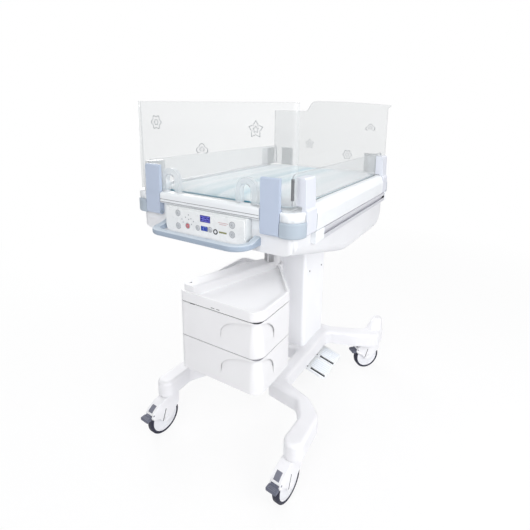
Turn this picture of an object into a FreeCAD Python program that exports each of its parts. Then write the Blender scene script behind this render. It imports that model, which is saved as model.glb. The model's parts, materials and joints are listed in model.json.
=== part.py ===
import FreeCAD, Part
import math
import os

from FreeCAD import Vector

# All sizes are in millimetres. Pieces are laid out from the floor point midway between the
# casters: X to the right seen from the control panel, Y to the rear, Z up.

# Running gaps
seat_gap = 0.3            # between pieces that move past each other or rest loosely
pin_clearance = 0.05      # radial, a pin in its bore

# Casters
wheel_radius = 62.5
tyre_width = 26.0
tread_radius = 6.0
hub_radius = 52.0
hub_width = 22.0
hub_boss_radius = 15.0
hub_rim_width = 8.0
hub_web_inset = 3.0
axle_radius = 6.0
caster_trail = 38.0       # swivel axis to axle, along the rolling direction
fork_wall = 6.0
wheel_side_gap = 2.0
fender_gap = 3.0
fender_wall = 10.0
fork_top = 144.0
stem_radius = 11.0
stem_length = 32.0
brake_pin_radius = 3.0
brake_reach = 27.0
nose_angle = 40.0         # of the fender's front end, above the axle
front_track = 548.0
rear_track = 600.0
wheelbase = 770.0
headings = {"front_left": -4.0, "front_right": -5.0, "rear_left": 18.0, "rear_right": -40.0}

# Base: plastic cover over a cast frame
base_bottom = 146.0
base_top = 205.0
base_wall = 5.0
spine_half = 118.0
bar_width = 58.0
beam_inner = 62.0         # the front of the spine is two side beams with a notch between
notch_back = 34.0
foot_half = 40.0          # rear feet
front_foot_in = 29.0
front_foot_out = 43.0
front_bar_y = -165.0      # rear edge of the front cross bar where it leaves the spine
rear_bar_y = 286.0        # rear edge of the rear cross bar where it leaves the spine
dome_height = 50.0
frame_inset = 12.0
frame_depth = 30.0

# Lift column
column_half = 78.0
column_front = 56.0
column_depth = 202.0
column_wall = 5.0
column_radius = 16.0
column_gap = 0.5
lift_travel = 250.0
lift_tube_wall = 4.0
lift_overlap = 160.0
flange_thickness = 5.0
motor_radius = 30.0
motor_drop = 72.0         # its top end below the column's top
gearbox_side = 44.0
gearbox_front = 62.0
gearbox_rear = 34.0
gearbox_height = 44.0
rod_radius = 14.0
rod_overlap = 60.0        # left in the motor's tube when the bed is up
screw_radius = 4.0
screw_head = 2.4
screw_inset = 40.0
front_screw_z = 548.0
rear_screw_z = 536.0

# Foot pedals
pedal_length = 112.0
pedal_width = 92.0
pedal_thickness = 12.0
pedal_slope = 14.0
pedal_pin_radius = 5.0
pedal_boss_radius = 10.0
pedal_pin_x = 82.0
pedal_pin_drop = 26.0
pedal_first_y = 46.0
ear_thickness = 6.0
bracket_thickness = 6.0

# Bed outline, seen from above, and its levels
bed_half = 316.0
bed_front = -470.0
bed_rear = 412.0
bed_radius = 46.0
frame_offset = 18.5       # from the bed outline in to the frame and the shell
shell_bottom = 720.0
shell_wall = 4.0
shell_front_bottom = 828.0
shell_flat_front = -40.0  # where the rising front of the shell meets its flat floor
shell_radius = 45.0       # along the lower side edges
shell_rear_radius = 86.0
frame_bottom = 892.0
frame_height = 65.0
frame_width = 29.5
ledge_height = 13.0
ledge_width = 12.0
rim_rise = 4.0            # end rims above the frame
side_rim_rise = 9.0
guard_bottom = 885.0
guard_height = 45.0

# Mattress, its deck and the heater below the deck
deck_thickness = 5.0
heater_thickness = 4.0
mattress_height = 58.0
mattress_gap = 4.0

# Clear panels and their clamps
panel_thickness = 5.0
clamp_thickness = 18.0
clamp_width = 61.0
clamp_gap = 2.0
clamp_inner_x = 192.0
clamp_top = 1048.0
clamp_axis_z = 895.0
clamp_pin_radius = 4.0
front_panel_top = 1244.0
front_panel_half = 294.0
panel_bend_radius = 14.0
panel_wing = 17.0
rear_panel_low_top = 1234.0
rear_panel_high_top = 1281.0
rear_panel_end_top = 1265.0
rear_panel_crest = 240.0      # from the left edge
rear_panel_notch = 172.0      # where the low left part ends
side_panel_top = 1057.0
side_panel_plane = 275.0
port_width = 74.0
port_height = 75.0
port_wall = 18.5
port_depth = 18.0
port_centres = (-160.0, 134.0)

# Accessory rails
rail_height = 37.0
rail_depth = 16.0
rail_slot = 11.0
rail_slot_inside = 21.0
rail_front = -300.0
rail_rear = 345.0
rail_front_end = 60.0
rail_rear_end = 22.0

# Control box, its face, keys and bumper
box_half = 155.0
box_bottom = 843.0
box_top = 926.0
box_depth = 31.5
face_thickness = 3.0
face_margin = 5.0
key_travel = 1.2
key_proud = 1.6
key_length = 7.0
round_key_radius = 8.0
set_key_radius = 6.0
round_keys = {"left_upper": (-100.0, 908.0), "left_lower": (-100.0, 867.0),
              "right_upper": (108.0, 902.0), "right_lower": (108.0, 874.0)}
set_keys = {"set_down": (-21.0, 873.0), "set_up": (27.0, 875.0)}
alarm_key = (-61.0, 873.0)
bumper_side = 30.0        # beyond each side of the box
bumper_reach = 90.0
bumper_depth = 24.0
bumper_height = 18.0
bumper_end_height = 29.0
bumper_bottom = 845.0
bumper_radius = 58.0
bumper_ramp = 34.0        # from the hull to where an arm is level
bumper_ramp_radius = 60.0
bumper_edge = 6.0

# Storage unit
store_right = 163.0
store_left = -172.0
store_front = -425.0
store_right_back = -232.0
store_left_back = -50.0
store_bottom = 322.0
drawer_height = 125.0
drawer_gap = 3.0
drawer_wall = 4.0
tray_thickness = 22.0
tray_lip = 12.0
tray_lip_width = 10.0
store_pivot_inset = 31.0
pivot_radius = 8.0
pivot_boss_radius = 20.0
post_x = -30.0
post_y = -38.0
post_radius = 33.0
arm_width = 72.0
post_lobe = 12.0          # of the tray beyond the post
arm_height = 22.0
arm_rear_height = 14.0
grip_front = 151.0
grip_side = 90.0
grip_lip = 5.0            # above the highest point of the scoop
grip_arch = 60.0          # drop of its upper edge to both ends
grip_height = 84.0
grip_depth = 15.0

# Places worked out from the sizes above
front_caster_x = front_track / 2
rear_caster_x = rear_track / 2
front_caster_y = -wheelbase / 2
rear_caster_y = wheelbase / 2
casters = {"front_left": (-front_caster_x, front_caster_y),
           "front_right": (front_caster_x, front_caster_y),
           "rear_left": (-rear_caster_x, rear_caster_y),
           "rear_right": (rear_caster_x, rear_caster_y)}
frame_top = frame_bottom + frame_height
rim_top = frame_top + rim_rise
side_rim_top = frame_top + side_rim_rise
guard_top = guard_bottom + guard_height
column_rear = column_front + column_depth
column_middle = (column_front + column_rear) / 2
column_top = shell_bottom - flange_thickness - seat_gap * 10
pedal_pin_z = base_bottom - pedal_pin_drop
clamp_axis_offset = clamp_thickness / 2
panel_bottom = rim_top + 2.3
side_panel_bottom = side_rim_top + 2.3
front_panel_y = bed_front + clamp_thickness - 3.0 - panel_thickness / 2 + 2.5
rear_panel_y = bed_rear - (front_panel_y - bed_front)
side_panel_front = front_panel_y - panel_thickness / 2 + panel_wing + 4.0
side_panel_rear = rear_panel_y - panel_thickness / 2 - 8.0
side_clamp_front = bed_front + bed_radius + 1.0
side_clamp_rear = bed_rear - bed_radius - 1.0
clamp_outer_x = clamp_inner_x + clamp_width
deck_bottom = frame_bottom + ledge_height
deck_top = deck_bottom + deck_thickness
face_y = bed_front + frame_offset - box_depth
bumper_front = bed_front + frame_offset - bumper_reach
bumper_half = box_half + bumper_side
store_pivot_x = store_left + store_pivot_inset
store_pivot_y = store_front + store_pivot_inset
lower_top = store_bottom + drawer_height
upper_bottom = lower_top + drawer_gap
upper_top = upper_bottom + drawer_height
tray_bottom = upper_top + drawer_gap
tray_top = tray_bottom + tray_thickness
lug_top = tray_top + tray_lip + arm_height
side_rim_bottom = guard_bottom + 3.0
rail_top = side_rim_bottom - 2.5
origin_y = (bumper_front + rear_caster_y + foot_half) / 2


# Shape helpers

def outline(corners):
    """Closed face in the XY plane from (x, y, radius) corners, with tangent arcs."""
    edges = []
    starts = []
    ends = []
    count = len(corners)
    for i in range(count):
        x, y, radius = corners[i]
        point = Vector(x, y, 0)
        before = Vector(corners[i - 1][0], corners[i - 1][1], 0) - point
        after = Vector(corners[(i + 1) % count][0], corners[(i + 1) % count][1], 0) - point
        before.normalize()
        after.normalize()
        half = before.getAngle(after) / 2
        if radius <= 0:
            starts.append(point)
            ends.append(point)
            edges.append(None)
            continue
        along = radius / math.tan(half)
        towards = before + after
        towards.normalize()
        middle = point + towards * (radius / math.sin(half) - radius)
        starts.append(point + before * along)
        ends.append(point + after * along)
        edges.append(Part.Arc(starts[i], middle, ends[i]).toShape())
    loop = []
    for i in range(count):
        if edges[i] is not None:
            loop.append(edges[i])
        following = starts[(i + 1) % count]
        if ends[i].distanceToPoint(following) > 1e-6:
            loop.append(Part.LineSegment(ends[i], following).toShape())
    return Part.Face(Part.Wire(loop))


def rounded_rectangle(x0, x1, y0, y1, radius):
    return outline([(x0, y0, radius), (x1, y0, radius), (x1, y1, radius), (x0, y1, radius)])


def along_z(face, low, high):
    flat = face.copy()
    flat.translate(Vector(0, 0, low))
    return flat.extrude(Vector(0, 0, high - low))


def along_y(face, low, high):
    """The face holds (x, z); it is stood up and pushed along Y."""
    flat = face.copy()
    flat.rotate(Vector(0, 0, 0), Vector(1, 0, 0), 90)
    flat.translate(Vector(0, low, 0))
    return flat.extrude(Vector(0, high - low, 0))


def along_x(face, low, high):
    """The face holds (y, z); it is stood up and pushed along X."""
    flat = face.copy()
    flat.rotate(Vector(0, 0, 0), Vector(1, 0, 0), 90)
    flat.rotate(Vector(0, 0, 0), Vector(0, 0, 1), 90)
    flat.translate(Vector(low, 0, 0))
    return flat.extrude(Vector(high - low, 0, 0))


def slab(x0, x1, y0, y1, z0, z1):
    return Part.makeBox(x1 - x0, y1 - y0, z1 - z0, Vector(x0, y0, z0))


def rod(radius, start, end):
    axis = end - start
    return Part.makeCylinder(radius, axis.Length, start, axis)


def mirror_x(shape):
    return shape.mirror(Vector(0, 0, 0), Vector(1, 0, 0))


def mirror_bed(shape):
    return shape.mirror(Vector(0, (bed_front + bed_rear) / 2, 0), Vector(0, 1, 0))


def round_rims(shape, radius, heights):
    """Fillet the edges that lie flat at the given heights."""
    chosen = [edge for edge in shape.Edges
              if any(abs(edge.BoundBox.ZMin - z) < 0.01 and abs(edge.BoundBox.ZMax - z) < 0.01
                     for z in heights)]
    return shape.makeFillet(radius, chosen)


def group(shapes):
    return Part.makeCompound(shapes)


# Casters: drawn at the origin, rolling along Y, then turned and moved to their feet

def caster_place(shape, corner):
    x, y = casters[corner]
    placed = shape.copy()
    placed.rotate(Vector(0, 0, 0), Vector(0, 0, 1), headings[corner])
    placed.translate(Vector(x, y, 0))
    return placed


cheek = tyre_width / 2 + wheel_side_gap
fork_half = cheek + fork_wall
axle_y = -caster_trail
fender_radius = wheel_radius + fender_gap + fender_wall
nose_y = axle_y - fender_radius * math.cos(math.radians(nose_angle))
nose_z = wheel_radius + fender_radius * math.sin(math.radians(nose_angle))
brake_pin_y = nose_y + 1.0
brake_pin_z = nose_z - 2.0


def caster_fork():
    back_y = stem_radius * 2.2
    top_arc = Part.Arc(
        Vector(axle_y, fork_top, 0),
        Vector(axle_y - fender_radius * math.cos(math.radians(45 + nose_angle / 2)),
               wheel_radius + fender_radius * math.sin(math.radians(45 + nose_angle / 2)), 0),
        Vector(nose_y, nose_z, 0)).toShape()
    lower = [Vector(nose_y, nose_z, 0), Vector(nose_y - 7, nose_z - 8, 0),
             Vector(nose_y - 3, nose_z - 18, 0),
             Vector(axle_y - 30, wheel_radius + 14, 0),
             Vector(axle_y - 13, wheel_radius - 12, 0), Vector(axle_y + 13, wheel_radius - 12, 0),
             Vector(back_y, wheel_radius + 36, 0), Vector(back_y, fork_top, 0),
             Vector(axle_y, fork_top, 0)]
    edges = [top_arc] + [Part.LineSegment(a, b).toShape() for a, b in zip(lower, lower[1:])]
    body = along_x(Part.Face(Part.Wire(edges)), -fork_half, fork_half)
    sides = [edge for edge in body.Edges
             if abs(abs(edge.BoundBox.XMin) - fork_half) < 0.01
             and abs(edge.BoundBox.XMax - edge.BoundBox.XMin) < 0.01
             and edge.BoundBox.ZMin > wheel_radius + 20]
    body = body.makeFillet(fork_wall * 0.6, sides)
    axle_start = Vector(-cheek, axle_y, wheel_radius)
    axle_end = Vector(cheek, axle_y, wheel_radius)
    body = body.cut(rod(wheel_radius + fender_gap, axle_start, axle_end))
    body = body.cut(slab(-cheek, cheek, nose_y - 20, axle_y, 0, wheel_radius + 14))
    nose_gap = slab(-cheek, cheek, nose_y - 20, nose_y + 12, nose_z - 30, nose_z + 12)
    body = body.cut(nose_gap)
    pin_side = Vector(fork_half, brake_pin_y, brake_pin_z)
    body = body.cut(rod(brake_pin_radius + pin_clearance,
                        Vector(-fork_half, brake_pin_y, brake_pin_z), pin_side))
    body = body.fuse(rod(axle_radius, axle_start - Vector(1, 0, 0), axle_end + Vector(1, 0, 0)))
    body = body.fuse(Part.makeCylinder(stem_radius, stem_length + 2, Vector(0, 0, fork_top - 2)))
    return body.removeSplitter()


def turned(corners):
    """Revolve an outline of (radius, x, fillet) corners about the wheel's axle."""
    face = outline(corners)
    face.rotate(Vector(0, 0, 0), Vector(0, 0, 1), 90)
    # the outline's radius now runs along Y and its width along -X
    whole = face.revolve(Vector(0, 0, 0), Vector(1, 0, 0), 360)
    whole.translate(Vector(0, axle_y, wheel_radius))
    return whole


def wheel_hub():
    half = hub_width / 2
    bore = axle_radius + pin_clearance
    side = [(hub_radius, half), (hub_radius - hub_rim_width + hub_web_inset, half),
            (hub_radius - hub_rim_width, half - hub_web_inset),
            (hub_boss_radius + hub_web_inset, half - hub_web_inset),
            (hub_boss_radius, cheek - seat_gap), (bore, cheek - seat_gap)]
    return turned([(r, -x, 0) for r, x in reversed(side)] + [(r, x, 0) for r, x in side])


def tyre():
    half = tyre_width / 2
    side = [(hub_radius, hub_width / 2, 0), (hub_radius + half - hub_width / 2, half, 0),
            (wheel_radius, half, tread_radius)]
    return turned([(r, -x, fillet) for r, x, fillet in side] + list(reversed(side)))


def brake_pedal():
    inner = cheek - 0.4
    boss = rod(6.5, Vector(-inner, brake_pin_y, brake_pin_z), Vector(inner, brake_pin_y, brake_pin_z))
    tip_y = brake_pin_y - brake_reach
    toe_back = brake_pin_y - 11
    front = [(tip_y, brake_pin_z + 6, 3), (tip_y - 2, brake_pin_z - 5, 3),
             (tip_y + 11, brake_pin_z - 9, 4)]
    tongue = along_x(outline([(brake_pin_y, brake_pin_z + 6.5, 0)] + front
                             + [(brake_pin_y, brake_pin_z - 6.5, 0)]), -inner, inner)
    toe = along_x(outline([(toe_back, brake_pin_z + 6.2, 1.5)] + front
                          + [(toe_back, brake_pin_z - 8, 1.5)]), -fork_half + 1, fork_half - 1)
    pin = rod(brake_pin_radius, Vector(-fork_half, brake_pin_y, brake_pin_z),
              Vector(fork_half, brake_pin_y, brake_pin_z))
    return boss.fuse([tongue, toe, pin]).removeSplitter()


# Base

def base_outline():
    """The whole base seen from above: a spine with four legs that bend out and then fore and aft."""
    foot_x = front_caster_x
    foot_end = front_caster_y - foot_half
    right_front = [
        (spine_half, front_bar_y, 30),
        (foot_x - 30, front_bar_y - 42, 62),
        (foot_x + front_foot_out - 8, front_caster_y + 120, 60),
        (foot_x + front_foot_out, foot_end, foot_half - 8),
        (foot_x - front_foot_in, foot_end, foot_half - 8),
        (foot_x - front_foot_in + 2, front_caster_y + 80, 40),
        (foot_x - 72, front_bar_y - bar_width - 10, 40),
        (beam_inner, front_bar_y - bar_width + 12, 18),
        (beam_inner, notch_back, 20),
    ]
    back_x = rear_caster_x
    back_end = rear_caster_y + foot_half
    right_rear = [
        (0, rear_bar_y, 0),
        (spine_half - 4, rear_bar_y, 40),
        (back_x - foot_half, rear_caster_y - 38, 34),
        (back_x - foot_half + 2, back_end, foot_half - 8),
        (back_x + foot_half, back_end, foot_half - 8),
        (back_x + foot_half, rear_caster_y - 70, 55),
        (back_x - 52, rear_bar_y - 18, 60),
        (spine_half, rear_bar_y - bar_width - 4, 34),
    ]
    right = right_rear + right_front
    left = [(-x, y, r) for x, y, r in reversed(right) if x > 0]
    corners = [c for c in right if c[0] > 0] + left
    return outline(corners)


def base_cover():
    plan = base_outline()
    body = round_rims(along_z(plan, base_bottom, base_top), 14, [base_top])
    body = body.fuse([rear_dome(side, 0) for side in (-1, 1)])
    inside = along_z(plan.makeOffset2D(-base_wall), base_bottom, base_top - base_wall * 2)
    return body.cut(inside).removeSplitter()


def rear_dome(side, inset):
    """The raised round top above each rear caster."""
    radius = foot_half - 2 - inset
    top = base_top + dome_height - inset
    column = Part.makeCylinder(radius, top - base_top + 30,
                               Vector(side * rear_caster_x, rear_caster_y, base_top - 30))
    return round_rims(column, radius * 0.6, [top])


def base_frame():
    """The casting under the cover, with a socket for each caster stem."""
    plan = base_outline().makeOffset2D(-frame_inset)
    bottom = base_bottom + 10
    body = along_z(plan, bottom, bottom + frame_depth)
    pads = [slab(-column_half, column_half, y, y + 30, bottom + frame_depth, base_top - base_wall * 2)
            for y in (column_front, column_rear - 30)]
    body = body.fuse(pads)
    for x, y in casters.values():
        body = body.cut(Part.makeCylinder(stem_radius + pin_clearance, frame_depth + 2,
                                          Vector(x, y, bottom - 1)))
    return body.removeSplitter()


# Lift column

def rectangular_tube(half, front, rear, radius, wall, low, high):
    outer = along_z(rounded_rectangle(-half, half, front, rear, radius), low, high)
    inner = along_z(rounded_rectangle(-half + wall, half - wall, front + wall, rear - wall,
                                      radius - wall), low, high)
    return outer.cut(inner)


def column_cover():
    return rectangular_tube(column_half, column_front, column_rear, column_radius, column_wall,
                            base_top, column_top)


def lift_tube():
    inset = column_wall + column_gap
    half = column_half - inset
    front = column_front + inset
    rear = column_rear - inset
    bottom = column_top - lift_travel - lift_overlap
    tube = rectangular_tube(half, front, rear, column_radius - inset, lift_tube_wall,
                            bottom, shell_bottom - flange_thickness)
    flange = along_z(rounded_rectangle(-half, half, front, rear, column_radius - inset),
                     shell_bottom - flange_thickness, shell_bottom)
    return tube.fuse(flange).removeSplitter()


motor_top = column_top - motor_drop
rod_bottom = motor_top - lift_travel - rod_overlap


def lift_motor():
    body = Part.makeCylinder(motor_radius, motor_top - base_top, Vector(0, column_middle, base_top))
    gearbox = along_z(rounded_rectangle(-gearbox_side, gearbox_side, column_middle - gearbox_front,
                                        column_middle + gearbox_rear, 14),
                      base_top, base_top + gearbox_height)
    bore = Part.makeCylinder(rod_radius + pin_clearance, motor_top - rod_bottom + 10,
                             Vector(0, column_middle, rod_bottom - 10))
    return body.fuse(gearbox).removeSplitter().cut(bore)


def lift_rod():
    return Part.makeCylinder(rod_radius, shell_bottom - flange_thickness - rod_bottom,
                             Vector(0, column_middle, rod_bottom))


def column_screws():
    heads = []
    for side in (-1, 1):
        for y, z in ((column_front + screw_inset, front_screw_z),
                     (column_rear - screw_inset, rear_screw_z)):
            outside = side * (column_half + screw_head)
            head = rod(screw_radius, Vector(side * column_half, y, z), Vector(outside, y, z))
            outer = [e for e in head.Edges
                     if abs(e.BoundBox.XMin - outside) < 0.01 and e.BoundBox.XLength < 0.01]
            heads.append(head.makeChamfer(screw_head / 2, outer))
    return group(heads)


# Foot pedals on a bracket under the right side of the base

pedal_pitch = pedal_width + ear_thickness + 2 * seat_gap


def pedal_bracket():
    plate_top = base_bottom + 10
    front = pedal_first_y - ear_thickness - seat_gap
    length = 2 * pedal_pitch + ear_thickness
    plate = along_z(rounded_rectangle(-10, pedal_pin_x + 18, front, front + length, 6),
                    plate_top - bracket_thickness, plate_top)
    ears = []
    for i in range(3):
        y = front + i * pedal_pitch
        ears.append(along_y(outline([(pedal_pin_x - 16, plate_top - 1, 0),
                                     (pedal_pin_x - 11, pedal_pin_z - 11, 9),
                                     (pedal_pin_x + 11, pedal_pin_z - 11, 9),
                                     (pedal_pin_x + 16, plate_top - 1, 0)]), y, y + ear_thickness))
    pin = rod(pedal_pin_radius, Vector(pedal_pin_x, front - 3, pedal_pin_z),
              Vector(pedal_pin_x, front + length + 3, pedal_pin_z))
    return plate.fuse(ears + [pin]).removeSplitter()


def foot_pedal(number):
    y0 = pedal_first_y + number * pedal_pitch
    half = pedal_thickness / 2
    pad = along_z(rounded_rectangle(8, pedal_length, y0, y0 + pedal_width, 12), -half, half)
    pad = round_rims(pad, 3, [half])
    boss = rod(pedal_boss_radius, Vector(0, y0, 0), Vector(0, y0 + pedal_width, 0))
    body = pad.fuse(boss)
    for x in (38, 70):
        body = body.cut(slab(x, x + 4, y0 + 10, y0 + pedal_width - 10, half - 1.5, half + 1))
    body = body.cut(rod(pedal_pin_radius + pin_clearance, Vector(0, y0 - 1, 0),
                        Vector(0, y0 + pedal_width + 1, 0)))
    body = body.removeSplitter()
    body.rotate(Vector(0, 0, 0), Vector(0, 1, 0), pedal_slope)
    body.translate(Vector(pedal_pin_x, 0, pedal_pin_z))
    return body


# Bed

def bed_plan(offset):
    return rounded_rectangle(-bed_half + offset, bed_half - offset, bed_front + offset,
                             bed_rear - offset, bed_radius - offset)


def hull(inset):
    """The solid form of the shell: a boat with a rising front and a rounded rear."""
    grown = inset - frame_offset
    side = bed_half - inset
    front = bed_front + inset
    rear = bed_rear - inset
    floor = shell_bottom + grown
    profile = outline([(front, frame_bottom, 0), (front, shell_front_bottom + grown, 0),
                       (shell_flat_front, floor, 260), (rear, floor, shell_rear_radius - grown),
                       (rear, frame_bottom, 0)])
    body = along_x(profile, -side, side)
    lower = [edge for edge in body.Edges
             if edge.BoundBox.XLength < 0.01 and edge.BoundBox.YMax > front + 1
             and edge.BoundBox.ZMin < frame_bottom - 1]
    body = body.makeFillet(shell_radius - grown, lower)
    return body.common(along_z(bed_plan(inset), shell_bottom, frame_bottom))


def bed_shell():
    return hull(frame_offset).cut(hull(frame_offset + shell_wall)).removeSplitter()


def corner_zone(low, high):
    """The four corner spaces that the guards and the corner lips fill."""
    start_x = clamp_outer_x + clamp_gap
    start_y = side_clamp_front - clamp_gap
    right = slab(start_x, bed_half + 1, bed_front - 1, start_y, low, high)
    both = right.fuse(mirror_x(right))
    return both.fuse(mirror_bed(both))


def bed_frame():
    body = along_z(bed_plan(frame_offset), frame_bottom, frame_top)
    lips = along_z(bed_plan(3), guard_top + seat_gap, frame_top)
    lips = round_rims(lips, 6, [frame_top]).common(corner_zone(guard_top, frame_top + 1))
    body = body.fuse(lips)
    body = body.cut(along_z(bed_plan(frame_offset + frame_width), deck_bottom, frame_top))
    body = body.cut(along_z(rounded_rectangle(
        -bed_half + frame_offset + frame_width + ledge_width,
        bed_half - frame_offset - frame_width - ledge_width,
        bed_front + frame_offset + frame_width + ledge_width,
        bed_rear - frame_offset - frame_width - ledge_width, 12), frame_bottom, deck_bottom))
    return body.removeSplitter()


def corner_guards():
    """Four bumpers that wrap the corners and carry the pins of the panel clamps."""
    band = along_z(bed_plan(0), guard_bottom, guard_top)
    band = round_rims(band, 5, [guard_bottom, guard_top])
    band = band.cut(along_z(bed_plan(frame_offset), guard_bottom, guard_top))
    quarter = band.common(slab(0, bed_half + 1, bed_front - 1, 0, 0, 2000)).common(
        corner_zone(guard_bottom, guard_top))
    end_pin = rod(clamp_pin_radius,
                  Vector(clamp_outer_x + clamp_gap, bed_front + clamp_axis_offset, clamp_axis_z),
                  Vector(clamp_inner_x - 2, bed_front + clamp_axis_offset, clamp_axis_z))
    side_pin = rod(clamp_pin_radius,
                   Vector(bed_half - clamp_axis_offset, side_clamp_front - clamp_gap, clamp_axis_z),
                   Vector(bed_half - clamp_axis_offset, side_clamp_front + clamp_width + 2,
                          clamp_axis_z))
    right = quarter.fuse([end_pin, side_pin]).removeSplitter()
    left = mirror_x(right)
    return group([right, left, mirror_bed(right), mirror_bed(left)])


def end_rims():
    """Front and rear rims between the clamps, with two fine grooves."""
    half = clamp_inner_x - clamp_gap - 0.5
    inner = bed_front + frame_offset
    profile = outline([(bed_front, guard_top - 3, 2), (inner, guard_top - 3, 0),
                       (inner, frame_top, 0), (inner + 14, frame_top, 0), (inner + 14, rim_top, 1.5),
                       (bed_front, rim_top, 9)])
    body = along_x(profile, -half, half)
    for z in (guard_top + 10, guard_top + 1):
        groove = outline([(bed_front - 1, z - 1.2, 0), (bed_front + 1.2, z, 0),
                          (bed_front - 1, z + 1.2, 0)])
        body = body.cut(along_x(groove, -half, half))
    return group([body, mirror_bed(body)])


def side_rims():
    """Long covers over the frame's sides, between the side clamps."""
    outer = bed_half + 2
    inner = bed_half - frame_offset
    profile = outline([(inner, side_rim_bottom, 0), (outer - 3, side_rim_bottom, 3),
                       (outer, side_rim_top - 30, 14),
                       (outer - 12, side_rim_top, 14), (inner - 16, side_rim_top, 4),
                       (inner - 16, frame_top, 0), (inner, frame_top, 0)])
    right = along_y(profile, side_clamp_front + clamp_width + clamp_gap + 0.5,
                    side_clamp_rear - clamp_width - clamp_gap - 0.5)
    return group([right, mirror_x(right)])


def deck():
    inset = frame_offset + frame_width + seat_gap
    return along_z(rounded_rectangle(-bed_half + inset, bed_half - inset, bed_front + inset,
                                     bed_rear - inset, 10), deck_bottom, deck_top)


def heater_pad():
    half = bed_half - frame_offset - frame_width - ledge_width - 40
    return along_z(rounded_rectangle(-half, half, bed_front + 130, bed_rear - 130, 30),
                   deck_bottom - heater_thickness, deck_bottom)


def mattress():
    inset = frame_offset + frame_width + mattress_gap
    body = along_z(rounded_rectangle(-bed_half + inset, bed_half - inset, bed_front + inset,
                                     bed_rear - inset, 34), deck_top + seat_gap,
                   deck_top + seat_gap + mattress_height)
    return round_rims(body, 14, [deck_top + seat_gap + mattress_height, deck_top + seat_gap])


def accessory_rails():
    inner = bed_half - frame_offset
    outer = inner + rail_depth
    bottom = rail_top - rail_height
    middle = (rail_top + bottom) / 2
    deep = outer - 10
    shelf = outer - 4
    profile = outline([
        (inner, bottom, 0), (outer, bottom, 1.5), (outer, middle - rail_slot / 2, 0.5),
        (shelf, middle - rail_slot / 2, 0), (shelf, middle - rail_slot_inside / 2, 0),
        (deep, middle - rail_slot_inside / 2, 0), (deep, middle + rail_slot_inside / 2, 0),
        (shelf, middle + rail_slot_inside / 2, 0), (shelf, middle + rail_slot / 2, 0),
        (outer, middle + rail_slot / 2, 0.5), (outer, rail_top, 1.5), (inner, rail_top, 0)])
    bar = along_y(profile, rail_front, rail_rear)
    section = outline([(inner, bottom, 0), (outer, bottom, 3), (outer, rail_top, 3),
                       (inner, rail_top, 0)])
    solids = [bar, along_y(section, rail_front - rail_front_end, rail_front),
              along_y(section, rail_rear, rail_rear + rail_rear_end)]
    return group(solids + [mirror_x(s) for s in solids])


# Control box

def all_keys():
    keys = {name: (x, z, round_key_radius) for name, (x, z) in round_keys.items()}
    keys.update({name: (x, z, set_key_radius) for name, (x, z) in set_keys.items()})
    keys["alarm"] = (alarm_key[0], alarm_key[1], round_key_radius - 1)
    return keys


def control_box():
    back = bed_front + frame_offset
    front = face_y + face_thickness
    plan = along_y(outline([(-box_half, box_bottom, 22), (box_half, box_bottom, 22),
                            (box_half, box_top, 5), (-box_half, box_top, 5)]), front, back)
    for x, z, radius in all_keys().values():
        start = Vector(x, front - 1, z)
        plan = plan.cut(rod(radius + seat_gap, start, start + Vector(0, 10, 0)))
    return plan


screens = {"upper": (-12.0, 28.0, 894.0, 915.0), "lower": (-9.0, 18.0, 867.0, 882.0)}


def control_face():
    m = face_margin
    body = along_y(outline([(-box_half + m, box_bottom + m, 18), (box_half - m, box_bottom + m, 18),
                            (box_half - m, box_top - m, 4), (-box_half + m, box_top - m, 4)]),
                   face_y, face_y + face_thickness)
    for x, z, radius in all_keys().values():
        start = Vector(x, face_y - 1, z)
        body = body.cut(rod(radius + seat_gap, start, start + Vector(0, face_thickness + 2, 0)))
    for x0, x1, z0, z1 in screens.values():
        body = body.cut(slab(x0, x1, face_y - 1, face_y + face_thickness, z0, z1))
    return body


def displays():
    return group([slab(x0, x1, face_y + 0.6, face_y + face_thickness, z0, z1)
                  for x0, x1, z0, z1 in screens.values()])


def key(x, z, radius):
    start = Vector(x, face_y - key_proud, z)
    body = rod(radius, start, start + Vector(0, key_length, 0))
    front = [e for e in body.Edges if abs(e.BoundBox.YMin - start.y) < 0.01 and e.BoundBox.YLength < 0.01]
    return body.makeFillet(0.8, front)


def bumper():
    back = bed_front + frame_offset
    outer = outline([(-bumper_half, back, 0), (-bumper_half, bumper_front, bumper_radius),
                     (bumper_half, bumper_front, bumper_radius), (bumper_half, back, 0)])
    w = bumper_depth
    inner = outline([(-bumper_half + w, back + 1, 0),
                     (-bumper_half + w, bumper_front + w, bumper_radius - w),
                     (bumper_half - w, bumper_front + w, bumper_radius - w),
                     (bumper_half - w, back + 1, 0)])
    top = bumper_bottom + bumper_height
    end_top = bumper_bottom + bumper_end_height
    body = along_z(outer, bumper_bottom, end_top).cut(along_z(inner, bumper_bottom, end_top))
    side = outline([(bumper_front - 1, bumper_bottom, 0), (back + 1, bumper_bottom, 0),
                    (back + 1, end_top, 0), (back - bumper_ramp, top, bumper_ramp_radius),
                    (bumper_front - 1, top, 0)])
    body = body.common(along_x(side, -bumper_half - 1, bumper_half + 1))
    rims = [edge for edge in body.Edges
            if edge.BoundBox.YMin < back - 1 and edge.BoundBox.ZLength < bumper_end_height - 2
            and not (edge.BoundBox.YMax > back - 0.01 and edge.BoundBox.YLength < 0.01)]
    return body.makeFillet(bumper_edge, rims)


# Clear panels and clamps. Each panel stands on two clamps that turn on the guards' pins.

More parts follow.
